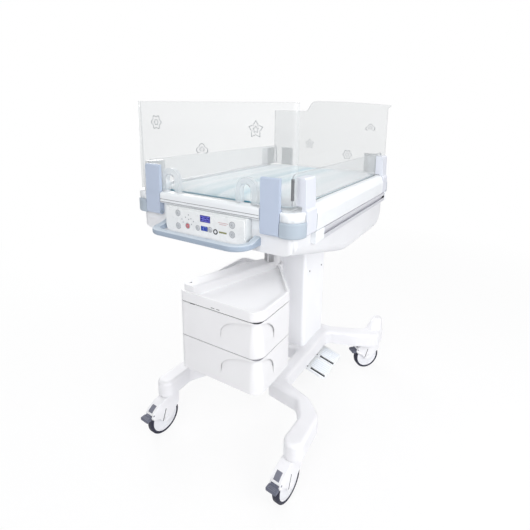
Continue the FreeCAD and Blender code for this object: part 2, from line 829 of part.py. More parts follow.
def end_clamp_profile():
    """(y, z) section of the front clamps."""
    y0 = bed_front
    y1 = bed_front + clamp_thickness
    panel_face = front_panel_y - panel_thickness / 2
    lower = Part.Arc(Vector(y1, clamp_axis_z, 0),
                     Vector((y0 + y1) / 2, clamp_axis_z - clamp_axis_offset, 0),
                     Vector(y0, clamp_axis_z, 0)).toShape()
    points = [Vector(y0, clamp_axis_z, 0), Vector(y0, rim_top - 4, 0), Vector(y0 + 1.5, rim_top - 2, 0),
              Vector(y0 + 1.5, clamp_top - 6, 0), Vector(y0 + 6, clamp_top, 0),
              Vector(panel_face, clamp_top, 0), Vector(panel_face, rim_top + 1, 0),
              Vector(y1, rim_top + 1, 0), Vector(y1, clamp_axis_z, 0)]
    edges = [lower] + [Part.LineSegment(a, b).toShape() for a, b in zip(points, points[1:])]
    return Part.Face(Part.Wire(edges))


def front_clamps():
    y_axis = bed_front + clamp_axis_offset
    body = along_x(end_clamp_profile(), clamp_inner_x, clamp_outer_x)
    body = body.cut(rod(clamp_pin_radius + pin_clearance,
                        Vector(clamp_inner_x - 1, y_axis, clamp_axis_z),
                        Vector(clamp_outer_x + 1, y_axis, clamp_axis_z)))
    return group([body, mirror_x(body)])


def right_clamps():
    x1 = bed_half
    x0 = bed_half - clamp_thickness
    face = side_panel_plane + panel_thickness / 2
    lower = Part.Arc(Vector(x0, clamp_axis_z, 0),
                     Vector((x0 + x1) / 2, clamp_axis_z - clamp_axis_offset, 0),
                     Vector(x1, clamp_axis_z, 0)).toShape()
    points = [Vector(x1, clamp_axis_z, 0), Vector(x1, rim_top - 4, 0), Vector(x1 - 5, rim_top + 1, 0),
              Vector(x1 - 7, clamp_top - 6, 0), Vector(x1 - 12, clamp_top, 0),
              Vector(face, clamp_top, 0), Vector(face, side_panel_bottom, 0),
              Vector(x0, side_panel_bottom, 0), Vector(x0, clamp_axis_z, 0)]
    edges = [lower] + [Part.LineSegment(a, b).toShape() for a, b in zip(points, points[1:])]
    profile = Part.Face(Part.Wire(edges))
    x_axis = bed_half - clamp_axis_offset
    solids = []
    for start in (side_clamp_front, side_clamp_rear - clamp_width):
        body = along_y(profile, start, start + clamp_width)
        solids.append(body.cut(rod(clamp_pin_radius + pin_clearance,
                                   Vector(x_axis, start - 1, clamp_axis_z),
                                   Vector(x_axis, start + clamp_width + 1, clamp_axis_z))))
    return group(solids)


def front_panel():
    t = panel_thickness
    y0 = front_panel_y - t / 2
    half = front_panel_half
    r = panel_bend_radius
    end = y0 + panel_wing
    plan = outline([(-half, end, 0), (-half, y0, r), (half, y0, r), (half, end, 0),
                    (half - t, end, 0), (half - t, y0 + t, r - t), (-half + t, y0 + t, r - t),
                    (-half + t, end, 0)])
    body = along_z(plan, panel_bottom, front_panel_top)
    openings = [arch(middle, port_wall, panel_bottom - 1, y0 - 1, y0 + t + 1)
                for middle in port_centres]
    return body.cut(openings)


def rear_panel():
    half = front_panel_half
    low = rear_panel_low_top
    high = rear_panel_high_top
    points = [
        Vector(-half, panel_bottom, 0), Vector(half - 4, panel_bottom, 0),
        Vector(half - 4, rear_panel_end_top - 12, 0), Vector(half + 8, rear_panel_end_top - 6, 0),
        Vector(half + 8, rear_panel_end_top, 0)]
    edges = [Part.LineSegment(a, b).toShape() for a, b in zip(points, points[1:])]
    crest = Vector(-half + rear_panel_crest, high, 0)
    middle = Vector(half * 0.42, (high + rear_panel_end_top) / 2 + 4, 0)
    edges.append(Part.Arc(points[-1], middle, crest).toShape())
    notch = Vector(-half + rear_panel_notch, low, 0)
    curve = Part.BezierCurve()
    curve.setPoles([crest, crest + Vector(-52, 0, 0), notch + Vector(34, 0, 0), notch])
    edges.append(curve.toShape())
    corner = Vector(-half, low, 0)
    edges.append(Part.LineSegment(notch, corner).toShape())
    edges.append(Part.LineSegment(corner, points[0]).toShape())
    face = Part.Face(Part.Wire(edges))
    return along_y(face, rear_panel_y - panel_thickness / 2, rear_panel_y + panel_thickness / 2)


def right_panel():
    profile = outline([(side_panel_front, side_panel_bottom, 4), (side_panel_rear, side_panel_bottom, 4),
                       (side_panel_rear, side_panel_top, 16), (side_panel_front, side_panel_top, 16)])
    return along_x(profile, side_panel_plane - panel_thickness / 2,
                   side_panel_plane + panel_thickness / 2)


def arch(middle, inset, base, y0, y1):
    """A round-headed arch over one of the two places where tubes leave."""
    half = port_width / 2 - inset
    top = panel_bottom + port_height - inset
    face = outline([(middle - half, base, 0), (middle + half, base, 0),
                    (middle + half, top, half - 0.5), (middle - half, top, half - 0.5)])
    return along_y(face, y0, y1)


def tube_ports():
    """Two clear arches inside the front panel, round the openings for tubes."""
    y0 = front_panel_y + panel_thickness / 2
    y1 = y0 + port_depth
    arches = []
    for middle in port_centres:
        outer = arch(middle, 0, panel_bottom, y0, y1)
        rim = [edge for edge in outer.Edges
               if abs(edge.BoundBox.YMin - y1) < 0.01 and edge.BoundBox.ZMax > panel_bottom + 1]
        outer = outer.makeFillet(6, rim)
        arches.append(outer.cut(arch(middle, port_wall, panel_bottom - 1, y0, y1)))
    return group(arches)


# Storage unit: a tray on an arm, with two drawers that swing out on one vertical rod

def store_plan(offset=0.0):
    front = store_front + offset
    diagonal = offset * 0.4
    small = 26 - offset
    return outline([
        (store_left + offset, front, small), (store_right - offset, front, 40 - offset),
        (store_right - offset, store_right_back - diagonal, small),
        (post_x + post_radius + 14 - diagonal, store_left_back - offset, small),
        (store_left + offset, store_left_back - offset, small)])


def grip(offset, top):
    """The scoop under an arched lip that wraps a drawer's front right corner.

    It is deepest under the lip and fades out below; an offset grows it for its inside wall.
    """
    high = top - grip_lip + 2 * offset
    low = high - grip_height - offset
    shoulder = high - grip_arch
    x0 = store_right - grip_front - offset
    y1 = store_front + grip_side + offset

    def arched(end, corner):
        beyond = corner + (corner - end)
        edge = Part.BezierCurve()
        edge.setPoles([Vector(end, shoulder, 0), Vector(end, high - grip_arch * 0.45, 0),
                       Vector(end + (corner - end) * 0.45, high, 0), Vector(corner, high, 0)])
        points = [Vector(corner, high, 0), Vector(beyond, high, 0), Vector(beyond, low, 0),
                  Vector(end, low, 0), Vector(end, shoulder, 0)]
        edges = [edge.toShape()] + [Part.LineSegment(a, b).toShape()
                                    for a, b in zip(points, points[1:])]
        return Part.Face(Part.Wire(edges))

    front = along_y(arched(x0, store_right), store_front - 30, y1)
    side = along_x(arched(y1, store_front), x0, store_right + 30)
    wires = []
    for inset, z in ((offset, low), (grip_depth + offset, high)):
        face = store_plan(inset)
        face.translate(Vector(0, 0, z))
        wires.append(face.OuterWire)
    return front.common(side).cut(Part.makeLoft(wires, True, True))


def drawer(bottom):
    top = bottom + drawer_height
    body = along_z(store_plan(), bottom, top)
    inner = along_z(store_plan(drawer_wall), bottom + drawer_wall, top)
    inner = inner.cut(grip(drawer_wall, top))
    boss = Part.makeCylinder(pivot_boss_radius, drawer_height + drawer_gap - seat_gap,
                             Vector(store_pivot_x, store_pivot_y, bottom))
    body = body.cut(inner).cut(grip(0, top)).fuse(boss)
    body = body.cut(Part.makeCylinder(pivot_radius + pin_clearance, drawer_height + 20,
                                      Vector(store_pivot_x, store_pivot_y, bottom - 10)))
    return body.removeSplitter()


def store_pivot():
    shaft = Part.makeCylinder(pivot_radius, tray_bottom - store_bottom + seat_gap + 6,
                              Vector(store_pivot_x, store_pivot_y, store_bottom - seat_gap - 6))
    cap = Part.makeCylinder(pivot_boss_radius - 4, 6,
                            Vector(store_pivot_x, store_pivot_y, store_bottom - seat_gap - 6))
    return shaft.fuse(cap).removeSplitter()


def tray_body(offset, low, high):
    """The tray's outline with the lobe round the post."""
    lobe = Part.makeCylinder(post_radius + post_lobe - offset, high - low,
                             Vector(post_x, post_y, low))
    return along_z(store_plan(offset), low, high).fuse(lobe).removeSplitter()


def store_tray():
    rim = tray_top + tray_lip
    body = round_rims(tray_body(0, tray_bottom, rim), 4, [rim])
    return body.cut(tray_body(tray_lip_width, tray_top, rim + 1))


def store_arm():
    """Raised arm across the tray, from the pivot lug to the round post under the bed."""
    floor = tray_top
    dx = post_x - store_pivot_x
    dy = post_y - store_pivot_y
    length = math.hypot(dx, dy)
    half = arm_width / 2
    bar = along_x(outline([(0, floor, 0), (length, floor, 0),
                           (length, floor + tray_lip + arm_rear_height, 0),
                           (0, lug_top, 0)]), -half, half)
    bar = bar.makeFillet(9, [e for e in bar.Edges if e.BoundBox.ZMin > floor + tray_lip
                             and e.BoundBox.YLength > arm_width])
    bar.rotate(Vector(0, 0, 0), Vector(0, 0, 1), math.degrees(math.atan2(dy, dx)) - 90)
    bar.translate(Vector(store_pivot_x, store_pivot_y, 0))
    lug = round_rims(Part.makeCylinder(half, lug_top - floor,
                                       Vector(store_pivot_x, store_pivot_y, floor)), 6, [lug_top])
    post = Part.makeCylinder(post_radius, shell_bottom + 40 - floor, Vector(post_x, post_y, floor))
    post = post.cut(hull(frame_offset))
    inside = tray_body(tray_lip_width, floor, shell_bottom)
    body = bar.fuse(lug).common(inside).fuse(post).removeSplitter()
    return body.cut(Part.makeCylinder(5, 12, Vector(store_pivot_x, store_pivot_y, lug_top - 12)))


# Every piece by name

def pieces():
    parts = {
        "base_cover": base_cover(),
        "base_frame": base_frame(),
        "column_cover": column_cover(),
        "column_screws": column_screws(),
        "lift_motor": lift_motor(),
        "lift_tube": lift_tube(),
        "lift_rod": lift_rod(),
        "pedal_bracket": pedal_bracket(),
        "foot_pedal_front": foot_pedal(0),
        "foot_pedal_rear": foot_pedal(1),
        "bed_shell": bed_shell(),
        "bed_frame": bed_frame(),
        "corner_guards": corner_guards(),
        "end_rims": end_rims(),
        "side_rims": side_rims(),
        "deck": deck(),
        "heater_pad": heater_pad(),
        "mattress": mattress(),
        "accessory_rails": accessory_rails(),
        "control_box": control_box(),
        "control_face": control_face(),
        "displays": displays(),
        "bumper": bumper(),
        "front_panel": front_panel(),
        "front_clamps": front_clamps(),
        "rear_panel": rear_panel(),
        "rear_clamps": mirror_bed(front_clamps()),
        "right_panel": right_panel(),
        "right_clamps": right_clamps(),
        "left_panel": mirror_x(right_panel()),
        "left_clamps": mirror_x(right_clamps()),
        "tube_ports": tube_ports(),
        "storage_arm": store_arm(),
        "storage_tray": store_tray(),
        "storage_pivot": store_pivot(),
        "drawer_lower": drawer(store_bottom),
        "drawer_upper": drawer(upper_bottom),
    }
    for name, (x, z, radius) in all_keys().items():
        parts["key_" + name] = key(x, z, radius)
    fork = caster_fork()
    hub = wheel_hub()
    ring = tyre()
    pedal = brake_pedal()
    for corner in casters:
        parts["caster_fork_" + corner] = caster_place(fork, corner)
        parts["wheel_hub_" + corner] = caster_place(hub, corner)
        parts["tyre_" + corner] = caster_place(ring, corner)
        parts["brake_pedal_" + corner] = caster_place(pedal, corner)
    return parts


os.makedirs("parts", exist_ok=True)
for name, shape in pieces().items():
    placed = shape.copy()
    placed.translate(Vector(0, -origin_y, 0))
    placed.exportStep("parts/" + name + ".step")
    print(name, len(placed.Solids), placed.isValid(), round(placed.Volume / 1000, 1))
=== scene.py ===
import json
import math

import bpy
from mathutils import Matrix, Vector


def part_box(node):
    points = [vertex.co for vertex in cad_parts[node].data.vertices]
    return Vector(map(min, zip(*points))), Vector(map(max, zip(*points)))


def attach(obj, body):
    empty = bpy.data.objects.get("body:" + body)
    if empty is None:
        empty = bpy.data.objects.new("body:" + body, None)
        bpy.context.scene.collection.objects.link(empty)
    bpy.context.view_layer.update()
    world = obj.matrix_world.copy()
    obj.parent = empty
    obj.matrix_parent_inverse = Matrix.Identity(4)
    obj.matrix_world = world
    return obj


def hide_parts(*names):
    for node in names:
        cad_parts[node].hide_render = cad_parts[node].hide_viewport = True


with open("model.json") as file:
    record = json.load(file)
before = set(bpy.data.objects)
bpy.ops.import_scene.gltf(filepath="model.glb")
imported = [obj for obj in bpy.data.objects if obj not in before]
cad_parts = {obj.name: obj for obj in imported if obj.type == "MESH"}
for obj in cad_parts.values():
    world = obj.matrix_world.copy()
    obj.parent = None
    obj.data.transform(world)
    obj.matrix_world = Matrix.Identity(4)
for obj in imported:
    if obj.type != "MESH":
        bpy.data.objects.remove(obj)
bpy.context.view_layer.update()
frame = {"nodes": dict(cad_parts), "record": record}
nodes = frame["nodes"]
corners = ["front_left", "front_right", "rear_left", "rear_right"]
weldGap = 0.000005  # corners of a CAD copy closer than this become one
print("frame loaded")


# Selection and mesh helpers
def clearPick():
    active = bpy.context.view_layer.objects.active
    if active and active.mode != "OBJECT":
        bpy.ops.object.mode_set(mode="OBJECT")
    bpy.ops.object.select_all(action="DESELECT")


def pick(*pieces):
    clearPick()
    for piece in pieces:
        piece.select_set(True)
    bpy.context.view_layer.objects.active = pieces[0]
    return pieces[0]


def settle(piece):
    pick(piece)
    bpy.ops.object.transform_apply(location=True, rotation=True, scale=True)
    return piece


def roundEdges(piece, width, segments=2, angle=30):
    pick(piece)
    edge = piece.modifiers.new("rounding", "BEVEL")
    edge.width = width
    edge.segments = segments
    edge.limit_method = "ANGLE"
    edge.angle_limit = math.radians(angle)
    bpy.ops.object.modifier_apply(modifier=edge.name)
    return piece


def block(name, low, high, bevel=0.0, segments=2):
    clearPick()
    middle = [(a + b) / 2 for a, b in zip(low, high)]
    bpy.ops.mesh.primitive_cube_add(size=1, location=middle)
    piece = bpy.context.object
    piece.name = name
    piece.scale = [b - a for a, b in zip(low, high)]
    settle(piece)
    if bevel:
        roundEdges(piece, bevel, segments)
    return piece


def editAll(piece):
    pick(piece)
    bpy.ops.object.mode_set(mode="EDIT")
    bpy.ops.mesh.select_all(action="SELECT")


def weld(piece):
    editAll(piece)
    bpy.ops.mesh.remove_doubles(threshold=weldGap)


def outward(piece):
    bpy.ops.mesh.select_all(action="SELECT")
    bpy.ops.mesh.normals_make_consistent(inside=False)
    bpy.ops.object.mode_set(mode="OBJECT")
    return piece


def disc(name, radius, depth, middle, facing="Y", vertices=32, lip=0.0, dish=0.0):
    turn = {"X": (0, math.pi / 2, 0), "Y": (math.pi / 2, 0, 0), "Z": (0, 0, 0)}[facing]
    clearPick()
    bpy.ops.mesh.primitive_cylinder_add(vertices=vertices, radius=radius, depth=depth,
                                        location=middle, rotation=turn)
    piece = bpy.context.object
    piece.name = name
    settle(piece)
    if lip:
        axis = "XYZ".index(facing)
        pick(piece)
        for face in piece.data.polygons:
            face.select = abs(face.normal[axis]) > 0.9
        bpy.ops.object.mode_set(mode="EDIT")
        bpy.ops.mesh.inset(thickness=lip, depth=-dish, use_individual=True)
        bpy.ops.object.mode_set(mode="OBJECT")
    return piece


def ring(name, radius, tube, middle, turn=(0, 0, 0), around=48, across=8):
    clearPick()
    bpy.ops.mesh.primitive_torus_add(major_radius=radius, minor_radius=tube, major_segments=around,
                                     minor_segments=across, location=middle, rotation=turn)
    piece = bpy.context.object
    piece.name = name
    return settle(piece)


def joined(name, pieces):
    pick(*pieces)
    if len(pieces) > 1:
        bpy.ops.object.join()
    piece = bpy.context.object
    piece.name = name
    return piece


def copyOf(piece, name):
    twin = piece.copy()
    twin.data = piece.data.copy()
    twin.name = name
    bpy.context.collection.objects.link(twin)
    return twin


def moved(piece, matrix):
    piece.data.transform(matrix)
    return piece


def scaled(piece, centre, factors):
    shift = Matrix.Translation(centre)
    return moved(piece, shift @ Matrix.Diagonal((*factors, 1)) @ shift.inverted())


def smooth(piece, angle=35):
    pick(piece)
    bpy.ops.object.shade_smooth_by_angle(angle=math.radians(angle))
    even = piece.modifiers.new("even", "WEIGHTED_NORMAL")
    even.mode = "FACE_AREA"
    even.weight = 80
    even.keep_sharp = True
    bpy.ops.object.modifier_apply(modifier=even.name)
    return piece


def dress(piece, finish, body, angle=35):
    piece.data.materials.clear()
    piece.data.materials.append(finish.material)
    smooth(piece, angle)
    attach(piece, body)
    return piece


# Shader sums written as Python expressions
class Wire:
    def __init__(self, finish, socket):
        self.finish = finish
        self.socket = socket

    def sum(self, operation, first, second):
        return self.finish.node("ShaderNodeMath", {"operation": operation}, {0: first, 1: second})

    def __add__(self, other):
        return self.sum("ADD", self, other)

    def __radd__(self, other):
        return self.sum("ADD", other, self)

    def __sub__(self, other):
        return self.sum("SUBTRACT", self, other)

    def __rsub__(self, other):
        return self.sum("SUBTRACT", other, self)

    def __mul__(self, other):
        return self.sum("MULTIPLY", self, other)

    def __rmul__(self, other):
        return self.sum("MULTIPLY", other, self)

    def __truediv__(self, other):
        return self.sum("DIVIDE", self, other)

    def larger(self, other):
        return self.sum("MAXIMUM", self, other)

    def clamped(self):
        return self.finish.node("ShaderNodeClamp", {}, {"Value": self})


class Finish:
    def __init__(self, name):
        self.material = bpy.data.materials.new(name)
        self.material.use_nodes = True
        self.tree = self.material.node_tree
        self.surface = self.tree.nodes["Principled BSDF"]
        self.place = self.node("ShaderNodeTexCoord", out="Object")

    def node(self, kind, settings=None, values=None, out=0):
        made = self.tree.nodes.new(kind)
        for key, value in (settings or {}).items():
            if key == "stops":
                ramp = made.color_ramp
                while len(ramp.elements) < len(value):
                    ramp.elements.new(0.5)
                for element, (at, colour) in zip(ramp.elements, value):
                    element.position = at
                    element.color = colour
            else:
                setattr(made, key, value)
        for key, value in (values or {}).items():
            self.feed(made.inputs[key], value)
        return Wire(self, made.outputs[out])

    def feed(self, socket, value):
        if isinstance(value, Wire):
            self.tree.links.new(value.socket, socket)
        else:
            socket.default_value = value

    def put(self, **values):
        names = {"colour": "Base Color", "roughness": "Roughness", "metallic": "Metallic",
                 "normal": "Normal", "alpha": "Alpha", "ior": "IOR", "emission": "Emission Color",
                 "glow": "Emission Strength", "sheen": "Sheen Weight", "specular": "Specular IOR Level"}
        for key, value in values.items():
            self.feed(self.surface.inputs[names[key]], value)
        return self

    def noise(self, scale, detail=2.0, rough=0.5, place=None):
        return self.node("ShaderNodeTexNoise", {}, {"Vector": place or self.place, "Scale": scale,
                                                    "Detail": detail, "Roughness": rough})

    def mix(self, share, first, second, blend="MIX"):
        return self.node("ShaderNodeMix", {"data_type": "RGBA", "blend_type": blend},
                         {0: share, 6: first, 7: second}, 2)

    def bump(self, height, depth, strength=1.0):
        return self.node("ShaderNodeBump", {}, {"Height": height, "Distance": depth,
                                                "Strength": strength})

    def axis(self, letter):
        return self.node("ShaderNodeSeparateXYZ", {}, {"Vector": self.place}, letter)


def linear(red, green, blue, alpha=1.0):
    def convert(value):
        value = value / 255
        return value / 12.92 if value <= 0.04045 else ((value + 0.055) / 1.055) ** 2.4
    return (convert(red), convert(green), convert(blue), alpha)


def shaded(colour, factor):
    return tuple(min(c * factor, 1.0) for c in colour[:3]) + (1.0,)


plasticPlan = {"tintScale": 7.0, "smudgeScale": 38.0, "smudge": 0.14, "specular": 0.45}


def plastic(name, colour, rough=0.38, grain=0.00006, grainScale=900, cloud=0.04):
    finish = Finish(name)
    tint = finish.noise(plasticPlan["tintScale"], 3.0)
    smudge = finish.noise(plasticPlan["smudgeScale"], 4.0, 0.6)
    grainHeight = finish.noise(grainScale, 2.0)
    finish.put(colour=finish.mix(tint, shaded(colour, 1 - cloud), shaded(colour, 1 + cloud)),
               roughness=smudge * plasticPlan["smudge"] + (rough - plasticPlan["smudge"] / 2),
               normal=finish.bump(grainHeight, grain), specular=plasticPlan["specular"])
    return finish


metalPlan = {"along": 4, "across": 700, "darker": 0.94, "lighter": 1.04, "streak": 0.16, "depth": 0.00003}


def metal(name, colour, rough=0.3, brushed="X", metallic=1.0):
    finish = Finish(name)
    stretch = [metalPlan["along"] if letter == brushed else metalPlan["across"] for letter in "XYZ"]
    drawn = finish.node("ShaderNodeMapping", {}, {"Vector": finish.place, "Scale": stretch})
    lines = finish.noise(1.0, 3.0, 0.6, drawn)
    tint = finish.mix(lines, shaded(colour, metalPlan["darker"]), shaded(colour, metalPlan["lighter"]))
    finish.put(colour=tint, metallic=metallic,
               roughness=lines * metalPlan["streak"] + (rough - metalPlan["streak"] / 2),
               normal=finish.bump(lines, metalPlan["depth"]))
    return finish


sheetPlan = {"blend": 0.35, "hazeScale": 5.0, "ior": 1.49, "specular": 0.8}


def clearSheet(name, colour, body, rim):
    finish = Finish(name)
    facing = finish.node("ShaderNodeLayerWeight", {}, {"Blend": sheetPlan["blend"]}, "Facing")
    haze = finish.noise(sheetPlan["hazeScale"], 2.0)
    finish.put(colour=colour, roughness=haze * 0.04 + 0.03, alpha=facing * rim + body,
               ior=sheetPlan["ior"], specular=sheetPlan["specular"])
    return finish


# Colours of the object's finishes; the lighter side clamp colour is painted light, a lit copy of the clamp
# blue
colours = {
    "base": linear(233, 233, 236), "column": linear(245, 246, 249), "shell": linear(224, 225, 228),
    "rim": linear(228, 231, 234), "guard": linear(167, 178, 189), "clampFront": linear(181, 192, 211),
    "clampSide": linear(216, 219, 228), "bumper": linear(152, 165, 181), "rail": linear(206, 207, 213),
    "store": linear(229, 229, 231), "drawer": linear(228, 228, 230), "box": linear(222, 225, 226),
    "face": linear(231, 233, 234), "caster": linear(234, 234, 237), "hub": linear(231, 232, 236),
    "tyre": linear(26, 27, 48), "brake": linear(92, 95, 111), "pad": linear(116, 118, 131),
    "pedal": linear(246, 249, 252)}

finishes = {
    "base_plastic": plastic("basePlastic", colours["base"], 0.36),
    "cast_frame": plastic("castFrame", linear(120, 122, 126), 0.55, 0.0002, 300),
    "column_paint": plastic("columnPaint", colours["column"], 0.33, 0.00004, 1300),
    "screw_steel": metal("screwSteel", linear(150, 150, 156), 0.35),
    "motor_alloy": metal("motorAlloy", linear(110, 112, 118), 0.45, "Z"),
    "bracket_steel": plastic("bracketPaint", linear(150, 153, 160), 0.4),
    "pedal_pale": plastic("pedalPale", colours["pedal"], 0.3),
    "lift_alloy": metal("liftAlloy", linear(205, 207, 212), 0.28, "Z"),
    "rod_steel": metal("rodSteel", linear(190, 190, 194), 0.2, "Z"),
    "shell_plastic": plastic("shellPlastic", colours["shell"], 0.34),
    "frame_plastic": plastic("framePlastic", colours["rim"], 0.36),
    "guard_blue": plastic("guardBlue", colours["guard"], 0.42, 0.00008, 700),
    "rim_plastic": plastic("rimPlastic", colours["rim"], 0.34),
    "deck_plastic": plastic("deckPlastic", linear(214, 216, 219), 0.5),
    "heater_mat": plastic("heaterMat", linear(168, 96, 66), 0.6),
    "rail_alloy": metal("railAlloy", colours["rail"], 0.5, "Y", 0.25),
    "box_plastic": plastic("boxPlastic", colours["box"], 0.36),
    "face_foil": plastic("faceFoil", colours["face"], 0.28, 0.00003, 1500, 0.02),
    "bumper_blue": plastic("bumperBlue", colours["bumper"], 0.48, 0.0001, 600),
    "store_plastic": plastic("storePlastic", colours["store"], 0.36),
    "pivot_steel": metal("pivotSteel", linear(186, 186, 190), 0.3, "Z"),
    "drawer_plastic": plastic("drawerPlastic", colours["drawer"], 0.36),
    "clamp_blue": plastic("clampBlue", colours["clampFront"], 0.24, 0.00003, 1200),
    "key_grey": plastic("keyGrey", linear(190, 193, 197), 0.4),
    "key_red": plastic("keyRed", linear(196, 110, 118), 0.4),
    "caster_white": plastic("casterWhite", colours["caster"], 0.32),
    "hub_white": plastic("hubWhite", colours["hub"], 0.3),
    "tyre_rubber": plastic("tyreRubber", colours["tyre"], 0.55, 0.0001, 500, 0.15),
    "brake_dark": plastic("brakeDark", colours["brake"], 0.45, 0.0001, 700, 0.08),
    "clear_panel": clearSheet("clearPanel", linear(208, 212, 214), 0.11, 0.36),
    "clear_port": clearSheet("clearPort", linear(242, 247, 251), 0.34, 0.40),
}
# Painted light: the side clamps take a lighter copy of the clamp blue and the far clamps a near-white one
sideClampPaintedLight = plastic("clampSide", colours["clampSide"], 0.24, 0.00003, 1200)
farClampPaintedLight = plastic("clampFar", linear(238, 239, 239), 0.24, 0.00003, 1200)
# Dark plastic for the buzzer ring and edge strips, also used as painted shade in cheek gaps, joints, the
# lug well, lip slots and along pedal treads
darkPlastic = plastic("darkPlastic", linear(30, 30, 38), 0.5)
padGrey = plastic("padGrey", colours["pad"], 0.6, 0.00012, 500)
# Grey painted shade for the end rim grooves and the joint between the drawers
seamGrey = plastic("seamGrey", linear(132, 132, 138), 0.6)
markGrey = plastic("markGrey", linear(160, 163, 168), 0.6)
markRed = plastic("markRed", linear(200, 170, 172), 0.6)
lampOlive = plastic("lampOlive", linear(132, 134, 88), 0.35)
ribBlue = plastic("ribBlue", linear(226, 234, 246), 0.4)
figureGrey = plastic("figureGrey", linear(150, 153, 158), 0.7)
railBlock = plastic("railBlock", linear(232, 235, 238), 0.4)
# Painted light: the tray's upper faces are painted lighter than the storage plastic, lifting the shade
# under the bed
trayFloor = plastic("trayFloor", linear(245, 245, 246), 0.4)
# Painted highlight: the bumper's upper faces are painted a lighter blue, as if lit from above
bumperTop = plastic("bumperTop", linear(190, 200, 210), 0.48, 0.0001, 600)
rearSheet = clearSheet("rearSheet", linear(194, 198, 200), 0.16, 0.42)


def edgeSheet(name, colour):
    finish = Finish(name)
    haze = finish.noise(60.0, 3.0)
    finish.put(colour=finish.mix(haze, shaded(colour, 0.92), shaded(colour, 1.06)),
               roughness=haze * 0.2 + 0.25, alpha=haze * 0.15 + 0.62, specular=0.6)
    return finish


sheetEdge = edgeSheet("sheetEdge", linear(150, 153, 158))

coverPlan = {"low": -0.264, "high": 0.264, "plain": linear(239, 242, 244), "pale": linear(225, 234, 237),
             "blue": linear(210, 224, 229), "deep": linear(186, 210, 219),
             "stripes": [(0.0, "plain"), (0.10, "plain"), (0.14, "pale"), (0.19, "pale"),
                         (0.23, "plain"), (0.27, "pale"), (0.31, "blue"), (0.37, "pale"),
                         (0.40, "blue"), (0.47, "deep"), (0.50, "pale"), (0.56, "blue"),
                         (0.62, "deep"), (0.68, "pale"), (0.73, "plain"), (0.80, "pale"),
                         (0.86, "pale"), (0.90, "plain"), (1.0, "plain")],
             "washed": linear(236, 238, 240), "unwashed": linear(255, 255, 255),
             "threadScale": 420.0, "threadShare": 0.25, "fold": 0.0012, "sheen": 0.15}


def stripedCover(name, plan):
    finish = Finish(name)
    across = (finish.axis("X") - plan["low"]) / (plan["high"] - plan["low"])
    stops = [(place, plan[colour]) for place, colour in plan["stripes"]]
    stripes = finish.node("ShaderNodeValToRGB", {"stops": stops}, {"Fac": across})
    washed = finish.noise(9.0, 3.0)
    threads = finish.node("ShaderNodeTexWave", {"wave_type": "BANDS", "bands_direction": "DIAGONAL"},
                          {"Vector": finish.place, "Scale": plan["threadScale"], "Distortion": 0.6},
                          "Fac")
    folds = finish.noise(14.0, 3.0, 0.55)
    tone = finish.mix(washed, plan["washed"], plan["unwashed"])
    weave = finish.bump(threads * plan["threadShare"] + folds, plan["fold"], 0.5)
    finish.put(colour=finish.mix(1.0, stripes, tone, "MULTIPLY"), roughness=washed * 0.15 + 0.52,
               sheen=plan["sheen"], normal=weave)
    return finish


finishes["mattress_cover"] = stripedCover("mattressCover", coverPlan)
pipingTeal = plastic("pipingTeal", linear(60, 128, 150), 0.5)
pipingPale = plastic("pipingPale", linear(205, 220, 226), 0.5)


def glassWindow(name, colour, glow):
    finish = Finish(name)
    cells = finish.noise(60.0, 2.0)
    finish.put(colour=finish.mix(cells, shaded(colour, 0.9), shaded(colour, 1.1)), roughness=0.12,
               emission=finish.mix(cells, shaded(colour, 0.85), shaded(colour, 1.15)), glow=glow)
    return finish


finishes["display_window"] = glassWindow("displayViolet", linear(40, 32, 122), 0.25)
lowerWindow = glassWindow("displayBlue", linear(30, 62, 136), 0.25)
displayDigit = glassWindow("displayDigit", linear(120, 124, 214), 0.35)
print("finishes made")


# Every CAD node takes the finish of its slot, except the rear panel and the side and far clamps, whose
# lighter copies of the clamp blue are painted light
slotOf = {part["node"]: part["material_slot"] for part in frame["record"]["subparts"]}
bodyOf = {}
for body, held in frame["record"]["behaviour"]["bodies"].items():
    for name in held:
        bodyOf[name] = body
joints = {joint["name"]: joint for joint in frame["record"]["behaviour"]["joints"]}
ownFinish = {"left_clamps": farClampPaintedLight, "right_clamps": sideClampPaintedLight, "rear_clamps": farClampPaintedLight,
             "rear_panel": rearSheet}
finishOf = {name: ownFinish.get(name, finishes[slotOf[name]]) for name in nodes}
for name, node in nodes.items():
    node.data.materials.clear()
    node.data.materials.append(finishOf[name].material)


def camel(name, ending=""):
    words = (name + "_" + ending).split("_")
    return words[0] + "".join(word.capitalize() for word in words[1:])


# Moulded and turned pieces get welded, smoothly shaded skins with softened edges
skinPlan = {"flat": 1, "sharp": 40, "smooth": 32, "whole": ["bed_frame"]}


def skin(name, bevel=0.0):
    piece = copyOf(nodes[name], camel(name, "skin"))
    weld(piece)
    if name not in skinPlan["whole"]:  # its corner caps lose their shape when flat faces merge
        bpy.ops.mesh.dissolve_limited(angle_limit=math.radians(skinPlan["flat"]))
    bpy.ops.object.mode_set(mode="OBJECT")
    if bevel:
        roundEdges(piece, bevel, 2, skinPlan["sharp"])
    dress(piece, finishOf[name], bodyOf[name], skinPlan["smooth"])
    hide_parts(name)
    return piece


